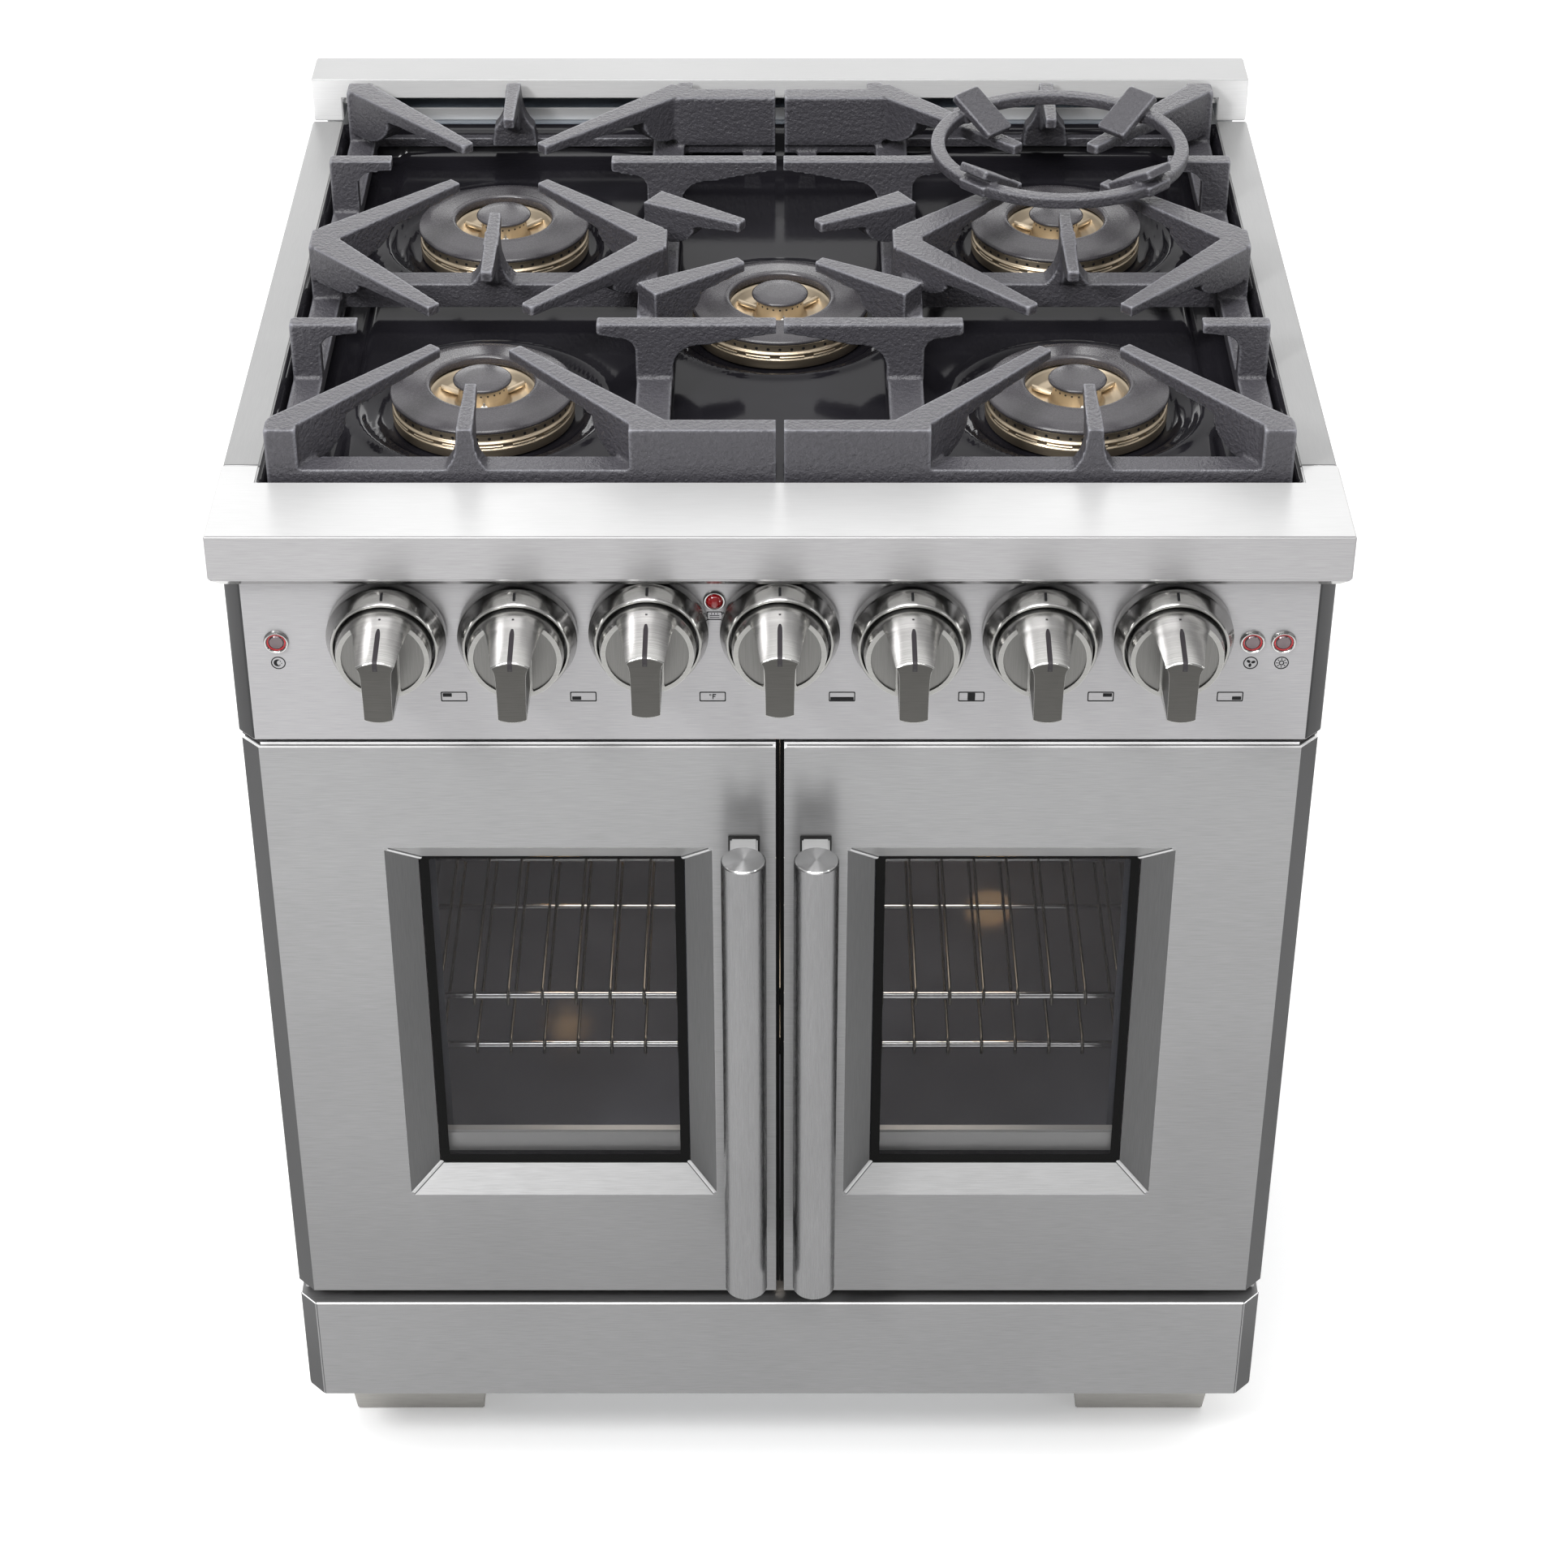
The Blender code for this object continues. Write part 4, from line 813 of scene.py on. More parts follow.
def grate(side, sign):
    node = "grate_" + side
    low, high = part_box(node)
    top, feet = high.z - RIM, low.z - RIM
    outer = max(abs(low.x), abs(high.x))
    inner = min(abs(low.x), abs(high.x))
    front, rear = low.y - LEDGE[0].y, high.y - LEDGE[0].y
    fore_x, aft_x = (abs(WELLS[BURNERS.index(name)][0]) for name in ("front_left", "rear_left"))
    mid = 0.3645
    bm = bmesh.new()

    def at(x, d):
        return (sign * x, d)

    def flat(start, end, wide, heights):
        cast_bar(bm, at(*start), at(*end), (wide, wide), heights[1], [(0.0, heights[0]), (9.0, heights[0])])

    def finger(start, end, root, wide=0.0220, foot=0.0, reach=0.034):
        length = math.hypot(start[0] - end[0], start[1] - end[1])
        under = arched(root, reach, foot, top - 0.012, top - 0.0075, length)
        cast_bar(bm, at(*start), at(*end), (wide, 0.0105), top, under)

    # Low rails along the sides, the middle and both ends
    side_rail = outer - 0.0105
    spine = 0.0895
    flat((side_rail, front), (side_rail, rear), 0.021, (feet + 0.008, -0.006))
    flat((spine, front), (spine, rear), 0.025, (feet + 0.008, -0.006))
    flat((outer, front + 0.0095), (inner, front + 0.0095), 0.019, (feet + 0.002, 0.006))
    flat((outer, rear - 0.0050), (0.079, rear - 0.0050), 0.008, (feet + 0.010, -0.008))
    flat((side_rail, mid), (spine, mid), 0.020, (feet + 0.010, 0.004))
    # End walls: a full-height plate at the centre and a post at each corner
    flat((0.102, front + 0.0075), (inner, front + 0.0075), 0.015, (feet + 0.002, top))
    flat((outer, front + 0.0075), (outer - 0.022, front + 0.0075), 0.015, (feet, top))
    flat((0.082, 0.6215), (inner + 0.001, 0.6215), 0.018, (-0.001, top))
    for height, inset in ((-0.001, 0.0), (-0.009, 0.004)):
        flat((0.082, 0.620 + inset), (inner + 0.001, 0.620 + inset), 0.014, (height - 0.004, height + 0.004))
    flat((0.082, rear - 0.010), (0.070, rear - 0.010), 0.020, (feet + 0.008, top))
    flat((outer, rear - 0.010), (outer - 0.020, rear - 0.010), 0.020, (feet, top - 0.0005))
    post_x, pad_x = sign * 0.022, sign * 0.0088
    tower(bm, [(feet + 0.001, post_x, 0.006, 0.609, 0.620), (-0.012, post_x, 0.0075, 0.609, 0.622)])
    tower(bm, [(height, pad_x, 0.006, front, 0.090) for height in (feet + 0.001, top - 0.001)])
    tees(bm, sign, top, outer, inner)
    # Corner posts and legs
    for x in (side_rail, spine):
        for d in (front + 0.012, 0.2336, 0.5005, rear - 0.012):
            foot_end = (feet, sign * x, 0.008, d - 0.010, d + 0.010)
            rail_end = (-0.006, sign * x, 0.0105, d - 0.011, d + 0.011)
            tower(bm, [foot_end, rail_end])
    # Fingers from the corners, from the diamond between the burners, and towards the centre burner
    finger((outer - 0.009, front + 0.010), (0.2405, 0.1964), 0.020)
    finger((0.0860, front + 0.008), (0.1854, 0.1941), 0.020)
    finger((outer - 0.009, rear - 0.009), (0.2419, 0.5256), 0.016)
    finger((0.0790, rear - 0.010), (0.1854, 0.5256), 0.016)
    for near, tip in ((0.3560, 0.2570), (0.3725, 0.4610)):
        finger((outer - 0.0125, near), (0.2468, tip), 0.018, 0.0240, 0.010)
        finger((0.0940, near), (0.1808, tip), 0.018, 0.0240, 0.010)
    for x in (outer - 0.0115, 0.0945):
        tower(bm, [(level, sign * x, 0.0113, 0.3500, 0.3790) for level in (feet + 0.004, top)])
    finger((0.0960, 0.2835), (0.0280, 0.3291), 0.018, 0.0235, 0.008, 0.024)
    finger((0.0960, 0.4345), (0.0279, 0.3917), 0.018, 0.0235, 0.008, 0.024)
    flat((0.0965, 0.276), (0.0965, 0.440), 0.014, (-0.004, 0.018))
    # Straight fingers on necks that flare into the rails
    straight_x = (fore_x + aft_x) / 2
    neck(bm, sign * fore_x, front + 0.0005, 0.1420, 1, top)
    neck(bm, sign * aft_x, rear - 0.0005, 0.5726, -1, top)
    neck(bm, sign * straight_x, mid + 0.0105, 0.3090, -1, top)
    neck(bm, sign * straight_x, mid - 0.0105, 0.4070, 1, top)
    obj = piece(node + "_casting", bm, IRON, node, [node], sharp=60)
    cast_skin(obj, 0.0014)


def tees(bm, sign, top, outer, inner):
    """Flat-topped tees that carry a pan beside the flames, with arches swept into their necks."""
    rail = -0.014
    for d in (0.2336, 0.5005):
        outside = [(outer, rail), (outer, top), (0.299, top), (0.299, top - 0.0075)]
        outside += arc((outer - 0.0335, top - 0.0215), 0.0125, 95, 0, 6) + [(outer - 0.021, rail)]
        tip = 0.130
        inside = [(0.1025, rail)] + arc((0.1135, top - 0.0225), 0.0110, 180, 80, 6)
        inside += [(tip, top - 0.0085), (tip, top), (inner, top), (inner, top - 0.0075)]
        inside += [(0.030, top - 0.0120), (0.050, top - 0.0165)] + arc((0.058, top - 0.0350), 0.018, 80, 0, 6)
        inside += [(0.076, rail)]
        for outline in (outside, inside):
            wall_plate(bm, [(sign * x, height) for x, height in outline], d - 0.0060, d + 0.0060)


def neck(bm, x, foot, tip, turn, top):
    """A straight finger whose neck widens downwards into the rail it stands on."""
    near, far = sorted((foot, foot + turn * 0.016))
    levels = [(-0.012, 0.0180), (0.004, 0.0160), (0.008, 0.0125)]
    levels += [(0.014, 0.0090), (0.022, 0.0068), (top, 0.0056)]
    tower(bm, [(height, x, half, near, far) for height, half in levels])
    length = abs(tip - foot)
    under = arched(0.014, 0.024, 0.004, top - 0.013, top - 0.0085, length)
    cast_bar(bm, (x, foot), (x, tip), (0.0115, 0.0085), top, under)


def cast_skin(obj, voxel):
    """Melts overlapping bars into one casting with soft corners."""
    keep = 190000
    remesh = obj.modifiers.new("Skin", "REMESH")
    remesh.mode = "VOXEL"
    remesh.voxel_size = voxel
    remesh.use_smooth_shade = True
    smooth = obj.modifiers.new("Soften", "SMOOTH")
    smooth.factor = 0.5
    smooth.iterations = 1
    applied(obj)
    triangles = sum(len(face.vertices) - 2 for face in obj.data.polygons)
    if triangles > keep:
        fewer = obj.modifiers.new("Fewer", "DECIMATE")
        fewer.ratio = keep / triangles
        applied(obj)
    obj.data.shade_smooth()
    obj.data.materials.clear()
    obj.data.materials.append(IRON)


def wok_ring():
    low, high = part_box("wok_ring")
    centre = (low + high) / 2
    outer = (high.x - low.x) / 2
    band = 0.011
    place = Matrix.Translation((centre.x, centre.y, rise(0.0463)))
    bm = bmesh.new()
    ring = rectangle(band, 0.0090, 0.0018, 3, (outer - band / 2, 0.0045))
    revolve(bm, ring, place, 144, closed=True)
    for quarter in range(4):
        turn = Matrix.Rotation(math.radians(45 + 90 * quarter), 4, "Z")
        tilt = Matrix.Rotation(math.radians(30), 4, "Y")
        lug = place @ turn @ Matrix.Translation((outer - 0.0190, 0, 0.0088)) @ tilt.inverted()
        prism(bm, rectangle(0.044, 0.0265, 0.002, 2), -0.0045, 0.0020, lug, bevel=0.0006)
        pad = place @ turn @ Matrix.Translation((outer - band / 2 - 0.001, 0, 0.0))
        prism(bm, rectangle(band + 0.006, 0.0265, 0.003, 2), 0.0005, 0.0085, pad, bevel=0.0006)
    ring = piece("wok_ring_casting", bm, IRON, "wok_ring", ["wok_ring"], sharp=60)
    cast_skin(ring, 0.0010)


# ---------------------------------------------------------------- control panel


def offset_path(path, inset):
    """An open plan path moved inwards, with mitred corners; inwards is to its left."""
    points = [Vector(point) for point in path]
    moved = []
    for number, point in enumerate(points):
        before = (point - points[number - 1]).normalized() if number else None
        after = (points[number + 1] - point).normalized() if number < len(points) - 1 else None
        first, second = before or after, after or before
        normals = [Vector((-run.y, run.x)) for run in (first, second)]
        half = (normals[0] + normals[1]).normalized()
        moved.append(point + half * inset / max(half.dot(normals[0]), 0.3))
    return moved


def folded(bm, path, sheet, levels):
    """Sheet metal folded along a plan path; levels are (height, inset) from bottom fold to top fold."""
    lofted = levels + [(height, inset + sheet) for height, inset in reversed(levels)]
    loops = []
    for height, inset in lofted:
        loops.append([bm.verts.new((x, back(d), rise(height))) for x, d in offset_path(path, inset)])
    for first, second in zip(loops, loops[1:] + loops[:1]):
        for number in range(len(first) - 1):
            bm.faces.new((first[number], first[number + 1], second[number + 1], second[number]))
    for end in (0, -1):
        bm.faces.new([loop[end] for loop in loops])


def control_panel():
    low, high = PANEL
    half = high.x
    front, bottom, top = PANEL_Y - LEDGE[0].y, low.z - RIM, high.z - RIM
    corner = 0.012
    path = [(-half, high.y - LEDGE[0].y), (-half, front + corner), (corner - half, front)]
    path += [(half - corner, front), (half, front + corner), (half, high.y - LEDGE[0].y)]
    path = rounded(path, 0.002, 3, closed=False)
    bm = bmesh.new()
    levels = [(bottom, 0.0016), (bottom + 0.0003, 0.0006), (bottom + 0.0012, 0.0), (top, 0.0)]
    folded(bm, path, 0.0018, levels)
    inner = [(x, back(d)) for x, d in offset_path(path, 0.0012)]
    prism(bm, inner, rise(bottom), rise(bottom + 0.0018), Matrix())
    bmesh.ops.recalc_face_normals(bm, faces=bm.faces)
    # Painted shade: the panel's end chamfers take the near-black chamfer steel.
    mark_chamfers(bm, 1)
    finishes = (PANEL_STEEL, CHAMFER_PAINTED_SHADE_STEEL)
    piece("panel_sheet", bm, finishes, "root", ["control_panel"], sharp=25)
    for name in KNOBS:
        bezel(name)
        pictogram(name)
    for name in BUTTONS:
        push_button(name)
    lamp()


def bezel(name):
    place = facing(middle("knob_" + name, PANEL_Y))
    profile = [
        (0.0342, -0.0005), (0.0342, BEZEL_DEPTH), (0.0357, BEZEL_DEPTH),
        (0.0364, BEZEL_DEPTH - 0.0012), (0.0398, 0.0105), (0.0405, 0.0090),
        (0.0405, 0.0012), (0.0395, 0.0), (0.0395, -0.0005),
    ]
    bm = bmesh.new()
    revolve(bm, rounded(profile, 0.0005, 2), place, 128, closed=True)
    bmesh.ops.recalc_face_normals(bm, faces=bm.faces)
    slope = math.atan2(0.0034, 0.0108)
    mark = place @ Matrix.Translation((0, 0.0383, 0.0158)) @ Matrix.Rotation(slope - math.pi / 2, 4, "X")
    prism(bm, rectangle(0.0019, 0.0072, 0.0004, 2), -0.0006, 0.00012, mark, 1)
    for face in bm.faces:
        if face.normal.y < -0.9 and face.material_index == 0:
            face.material_index = 2
    piece("bezel_" + name, bm, (BEZEL_STEEL, PRINT, RIM_STEEL), sharp=25, normals=False)


def printed(bm, place, outline, hole=None):
    """A mark, or a ring with a hole, that stands a hair out of the surface it is printed on."""
    sunk, proud = -0.0002, 0.00015
    if hole:
        ring_plate(bm, outline, hole, sunk, proud, place)
    else:
        prism(bm, outline, sunk, proud, place)


def block_shape(width, height, centre=(0.0, 0.0)):
    return rectangle(width, height, 0.0002, 1, centre)


def pictogram(name):
    """The outlined plate beside a knob, with a filled block where its burner or element is."""
    knob = middle("knob_" + name)
    centre = Vector((knob.x + 0.0425, PANEL_Y, RIM - 0.1378))
    place = facing(centre)
    bm = bmesh.new()
    printed(bm, place, rectangle(0.0181, 0.0079, 0.0010), rectangle(0.0166, 0.0064, 0.0007))
    blocks = {
        "rear_left": (0.0062, 0.0028, (-0.0046, 0.0013)),
        "front_left": (0.0062, 0.0028, (-0.0046, -0.0013)),
        "centre": (0.0052, 0.0060, (0.0, 0.0)),
        "rear_right": (0.0062, 0.0028, (0.0046, 0.0013)),
        "front_right": (0.0062, 0.0028, (0.0046, -0.0013)),
        "oven_mode": (0.0160, 0.0026, (0.0, -0.0017)),
    }
    letter_f = (
        (0.0007, 0.0042, (0.0002, 0.0)),
        (0.0024, 0.0007, (0.0012, 0.0018)),
        (0.0018, 0.0007, (0.0010, 0.0002)),
    )
    if name not in blocks:
        degree = (-0.0016, 0.0014)
        printed(bm, place, circle(0.0007, 12, degree), circle(0.0004, 12, degree))
    for bar in (blocks[name],) if name in blocks else letter_f:
        printed(bm, place, block_shape(*bar))
    piece("pictogram_" + name, bm, PRINT)


def push_button(name):
    node = "button_" + name
    low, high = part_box(node)
    centre = middle(node, PANEL_Y)
    place = facing(centre)
    radius = (high.x - low.x) / 2
    ring = [
        (radius + 0.0013, -0.0005), (radius + 0.0013, 0.0016), (radius + 0.0020, 0.0026),
        (radius + 0.0028, 0.0024), (0.0086, 0.0010), (0.00875, 0.0),
        (0.00875, -0.0005),
    ]
    ring = rounded(ring, 0.0003, 2)
    turned("button_ring_" + name, ring, place, 64, BEZEL_STEEL, sharp=25, closed=True)
    inner, outer = radius + 0.0003, radius + 0.0012
    collar = [(inner, -0.0005), (inner, 0.0012), (outer, 0.0012), (outer, -0.0005)]
    turned("button_light_" + name, collar, place, 48, RED_GLOW, closed=True)
    reach = PANEL_Y - low.y
    disc = [(0.0, reach - 0.0004), (0.0030, reach - 0.0002), (radius - 0.0006, reach)]
    disc += [(radius, reach - 0.0006), (radius, -0.0100), (0.0, -0.0100)]
    turned("button_disc_" + name, disc, place, 48, BUTTON_STEEL, node, [node], 25)
    sign_under(name, facing(centre - Vector((0, 0, 0.0172))))


def sign_under(name, place):
    """A small round sign: a moon for the timer, blades for the fan, a lamp with rays for the light."""
    bm = bmesh.new()
    printed(bm, place, circle(0.0050), circle(0.0043))
    if name == "timer":
        moon = arc((-0.0004, 0.0), 0.0028, 60, 300, 16) + arc((0.0014, 0.0), 0.0024, 268, 92, 12)
        printed(bm, place, moon)
        for star in ((0.0014, 0.0012), (0.0022, -0.0004), (0.0010, -0.0016)):
            printed(bm, place, circle(0.00035, 8, star))
    elif name == "fan":
        for blade in range(3):
            turn = Matrix.Rotation(math.radians(120 * blade + 20), 4, "Z")
            leaf = [(0.0019 + x * 0.9, z * 0.62) for x, z in circle(0.0016, 14)]
            printed(bm, place @ turn, leaf)
    else:
        printed(bm, place, circle(0.0019, 20), circle(0.0012, 20))
        for ray in range(8):
            turn = Matrix.Rotation(math.radians(45 * ray), 4, "Z")
            printed(bm, place @ turn, block_shape(0.0013, 0.0006, (0.0031, 0.0)))
    piece("sign_" + name, bm, PRINT)


def lamp():
    """The red indicator: a domed lens in a chrome ring, and its boxed sign under it."""
    centre = middle("indicator_lamp", PANEL_Y)
    place = facing(centre)
    dome = [(0.0, 0.0048)]
    dome += [(0.0060 * math.sin(turn), 0.0002 + 0.0046 * math.cos(turn)) for turn in (0.4, 0.8, 1.15, 1.45)]
    dome += [(0.0060, -0.0090), (0.0, -0.0090)]
    turned("lamp_lens", dome, place, 48, LENS, "root", ["indicator_lamp"], 50)
    ring = [(0.0060, -0.0004), (0.0060, 0.0018), (0.0068, 0.0020), (0.0076, 0.0010), (0.0077, -0.0004)]
    turned("lamp_ring", ring, place, 64, BEZEL_STEEL, sharp=40, closed=True)
    below = facing(centre - Vector((0, 0, 0.0122)))
    bm = bmesh.new()
    printed(bm, below, rectangle(0.0106, 0.0067, 0.0010), rectangle(0.0093, 0.0054, 0.0007))
    for row in (-0.0014, 0.0002):
        printed(bm, below, block_shape(0.0066, 0.0005, (0.0, row)))
    for column in (-0.0020, 0.0, 0.0020):
        printed(bm, below, block_shape(0.0005, 0.0014, (column, 0.0016)))
    piece("lamp_sign", bm, PRINT)


# ---------------------------------------------------------------- knobs

KNOB_FLOOR = 0.0325
POCKET_DEPTH = 0.0014
POCKET_REACH = 0.0280
# The knob's cone, as (radius, height) at its foot and the radius at its front
CONE_FOOT = (0.0296, 0.0400)
CONE_TIP = 0.0241
# Where each finish stands in a knob's list
KNOB_FINISHES = (KNOB_STEEL, GRIP_STEEL, SCOOP_STEEL, RIM_STEEL)
GRIP, POCKET, STEP = 1, 2, 3


def grip_edge(height):
    """Half the width of the grip at a height over the knob's axis: it flares where the scoops run out."""
    share = min(max((height + 0.030) / 0.054, 0.0), 1.0)
    return 0.0094 + 0.0010 * share**2 + 0.0090 * share**18


def knob_mesh(reach):
    """A turned knob with a pair of scoops, left around a grip; its own Z axis is its reach from the panel."""
    profile = [
        (0.0, reach),
        (0.0232, reach),
        (CONE_TIP, reach - 0.0010),
        CONE_FOOT,
        (0.0303, 0.0372),
        (0.0322, 0.0290),
        (0.0324, 0.0262),
        (0.0324, 0.0046),
        (0.0, 0.0046),
    ]
    radii = [0, 0.0006, 0.0004, 0.0020, 0.0020, 0.0015, 0.0010, 0.0005, 0]
    bm = bmesh.new()
    revolve(bm, rounded(profile, radii, 3, closed=False), Matrix(), 128)
    body = loose("knob_blank", bm)
    cutters = []
    for side in (-1, 1):
        heights = [-0.045, -0.030] + [-0.024 + 0.004 * step for step in range(8)]
        heights += [0.010 + 0.0009 * step for step in range(16)]
        edge = [(side * grip_edge(height), height) for height in heights]
        edge += [(side * 0.045, edge[-1][1] + 0.0012), (side * 0.045, -0.045)]
        cut = bmesh.new()
        prism(cut, edge, KNOB_FLOOR + POCKET_DEPTH, reach + 0.01, Matrix())
        cutters.append(loose(f"knob_scoop{side}", cut))
        inset = [(side * (grip_edge(height) + 0.0012), height) for height in heights]
        pocket = [(x, z) for x, z in inset if math.hypot(x, z) < POCKET_REACH - 0.0004]
        turns = [math.atan2(z, side * x) for x, z in (pocket[-1], pocket[0])]
        for step in range(17):
            turn = turns[0] + (turns[1] - turns[0]) * step / 16
            pocket.append((side * POCKET_REACH * math.cos(turn), POCKET_REACH * math.sin(turn)))
        cut = bmesh.new()
        prism(cut, pocket, KNOB_FLOOR, reach + 0.01, Matrix())
        cutters.append(loose(f"knob_pocket{side}", cut))
    for cutter in cutters:
        modifier = body.modifiers.new("Scoop", "BOOLEAN")
        modifier.object = cutter
        modifier.solver = "EXACT"
    applied(body)
    for cutter in cutters:
        bpy.data.objects.remove(cutter)
    bm = bmesh.new()
    bm.from_mesh(body.data)
    bpy.data.objects.remove(body)
    bmesh.ops.remove_doubles(bm, verts=bm.verts, dist=0.00002)
    for face in bm.faces:
        spot = face.calc_center_median()
        walled = abs(face.normal.z) < 0.05 and spot.z > KNOB_FLOOR
        if abs(face.normal.z) > 0.98 and spot.z > 0.030:
            if spot.z > KNOB_FLOOR + 0.004:
                face.material_index = GRIP
            else:
                face.material_index = POCKET if spot.z < KNOB_FLOOR + 0.001 else STEP
        elif walled and spot.z < KNOB_FLOOR + POCKET_DEPTH:
            face.material_index = STEP
        elif walled and abs(face.normal.x) > 0.4 and math.hypot(spot.x, spot.y) < 0.0236:
            face.material_index = GRIP
    creases = [edge for edge in bm.edges if len(edge.link_faces) == 2 and edge.calc_face_angle() > 0.7]
    edge_bevel(bm, [edge for edge in creases if edge.verts[0].co.z > 0.03], 0.00035)
    return bm


def loose(name, bm):
    mesh = bpy.data.meshes.new(name)
    bmesh.ops.recalc_face_normals(bm, faces=bm.faces)
    bm.to_mesh(mesh)
    bm.free()
    obj = bpy.data.objects.new(name, mesh)
    bpy.context.scene.collection.objects.link(obj)
    return obj


def knobs():
    for name in KNOBS:
        node = "knob_" + name
        reach = PANEL_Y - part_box(node)[0].y
        place = facing(middle(node, PANEL_Y))
        bm = knob_mesh(reach)
        bmesh.ops.transform(bm, matrix=place, verts=bm.verts)
        piece(node + "_turned", bm, KNOB_FINISHES, node, [node], sharp=30)
        pointer(node, place, reach)


def pointer(node, place, reach):
    """A dark inlaid line down the cone and over its front edge, with a dot at its end and a tick behind."""
    half, proud, thick = 0.00165, 0.00012, 0.0009
    foot_radius, foot_height = CONE_FOOT
    slope = (foot_radius - CONE_TIP) / (reach - 0.001 - foot_height)
    bm = bmesh.new()
    run = [(foot_radius - slope * step * 0.001 + proud, 0.0420 + step * 0.001) for step in range(0, 31, 3)]
    run += [(CONE_TIP + proud, reach - 0.0012), (0.0234, reach + proud), (0.0175, reach + proud)]
    rings = []
    for number, (radius, height) in enumerate(run):
        wide = half * (0.40, 0.85, 1.0)[min(number, 2)]
        on_cone = height < reach
        deep = radius - thick if on_cone else radius
        low = height if on_cone else height - thick
        corners = [(-wide, radius, height), (wide, radius, height), (wide, deep, low), (-wide, deep, low)]
        rings.append([bm.verts.new(place @ Vector(corner)) for corner in corners])
    skin(bm, rings)
    dot = place @ Matrix.Translation((0, 0.0186, reach))
    prism(bm, circle(0.0008, 12), -0.0002, proud * 2, dot, 1)
    tick = place @ Matrix.Translation((0, 0.0314, 0.0330)) @ Matrix.Rotation(-math.radians(77), 4, "X")
    prism(bm, block_shape(0.0016, 0.0011), -0.0006, proud, tick)
    piece(node + "_pointer", bm, (INLAY, PAINTED_SHADE_AND_DARK_MARK), node)


# ---------------------------------------------------------------- doors

# Where each finish stands in a door's list; CROWN marks faces until they take the faintly glowing edge
# finish, a painted highlight. The level slopes of the recess take painted light, its upright slopes and the
# end chamfers painted shade.
DOOR_FINISHES = (DOOR_STEEL, RECESS_PAINTED_LIGHT_STEEL, CHAMFER_PAINTED_SHADE_STEEL, REVEAL_PAINTED_SHADE_STEEL, PAINTED_HIGHLIGHT_STEEL)
PAINTED_LIGHT_SLOPE, PAINTED_SHADE_CHAMFER, PAINTED_SHADE_SLOPE, PAINTED_HIGHLIGHT_FOLD = 1, 2, 3, 4
CROWN = 9


def mark_chamfers(bm, index):
    """The vertical faces folded back at the ends of a front take a near-black copy of the steel: painted
    shade where they face the darker sides of the room.
    """
    near_end = 0.35
    for face in bm.faces:
        if face.normal.y < -0.35 and abs(face.normal.x) > 0.35 and abs(face.normal.z) < 0.2:
            if abs(face.calc_center_median().x) > near_end:
                face.material_index = index


def crown(bm, node):
    """A wide rounded fold along the top of a front, which catches the light under the gap above it, helped by
    a painted highlight: its faces later take the faintly glowing edge finish.
    """
    low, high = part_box(node)
    edges = []
    for edge in bm.edges:
        on_top = all(vert.co.z > high.z - 0.0005 and vert.co.y < low.y + 0.0135 for vert in edge.verts)
        if on_top and any(face.normal.y < -0.3 for face in edge.link_faces):
            edges.append(edge)
    for face in edge_bevel(bm, edges, 0.0028, 5):
        face.material_index = CROWN


def wide_folds(bm, node):
    """Rounds a door's top and the four folds from the mouth of its window recess to the glass."""
    crown(bm, node)
    folds = []
    for edge in bm.edges:
        first, second = (vert.co for vert in edge.verts)
        diagonal = abs(first.x - second.x) > 0.005 and abs(first.z - second.z) > 0.005
        front = min(first.y, second.y) < DOOR_Y + 0.001
        if diagonal and front and abs(first.y - second.y) > 0.012:
            folds.append(edge)
    edge_bevel(bm, folds, 0.0020, 3)


def across_window(spot):
    """Whether a point lies in the width that a door's window and its recess take up."""
    return 0.04 < abs(spot.x) < 0.29


def bright_folds(bm, node, rim):
    """Keeps the faintly glowing edge finish, a painted highlight, on folds that face up, at the mouth of a
    window or beside the middle gap.
    """
    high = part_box(node)[1]
    for face in bm.faces:
        if face.material_index != rim:
            continue
        spot = face.calc_center_median()
        top = spot.z > high.z - 0.004 and face.normal.z > 0.2
        gap = abs(spot.x) < 0.006 and face.normal.y < -0.2
        mouth = spot.y < DOOR_Y + 0.0012 and across_window(spot) and spot.z < high.z - 0.05
        if not (top or gap or mouth):
            face.material_index = 0


def mark_recess(bm, node):
    """The slopes round the window: the level ones take a pale copy of the steel and the upright ones at its
    sides a dark copy, painted light and painted shade.
    """
    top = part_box(node)[1].z
    for face in bm.faces:
        spot, normal = face.calc_center_median(), face.normal
        if face.material_index == CROWN:
            face.material_index = PAINTED_HIGHLIGHT_FOLD
            continue
        slanted = -0.97 < normal.y < -0.15 and abs(normal.x) + abs(normal.z) > 0.3
        beside = across_window(spot) and spot.z < top - 0.01 and spot.y < DOOR_Y + 0.0155
        wide = face.material_index != PAINTED_HIGHLIGHT_FOLD or face.calc_area() > 0.0010
        if slanted and beside and wide:
            face.material_index = PAINTED_SHADE_SLOPE if abs(normal.x) > abs(normal.z) else PAINTED_LIGHT_SLOPE


def doors():
    for side, sign in SIDES:
        door_shell(side)
        door_window(side)
        low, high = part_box("door_frame_" + side)
        bm = bmesh.new()
        gap = min(abs(low.x), abs(high.x)) - 0.0001
        near = (sign * 0.0002, low.y + 0.008, low.z + 0.0020)
        solid_block(bm, near, (sign * gap, low.y + 0.018, high.z - 0.0020), 0.0006)
        piece("door_edge_seal_" + side, bm, BORDER, "door_" + side, sharp=40)
        handle(side)


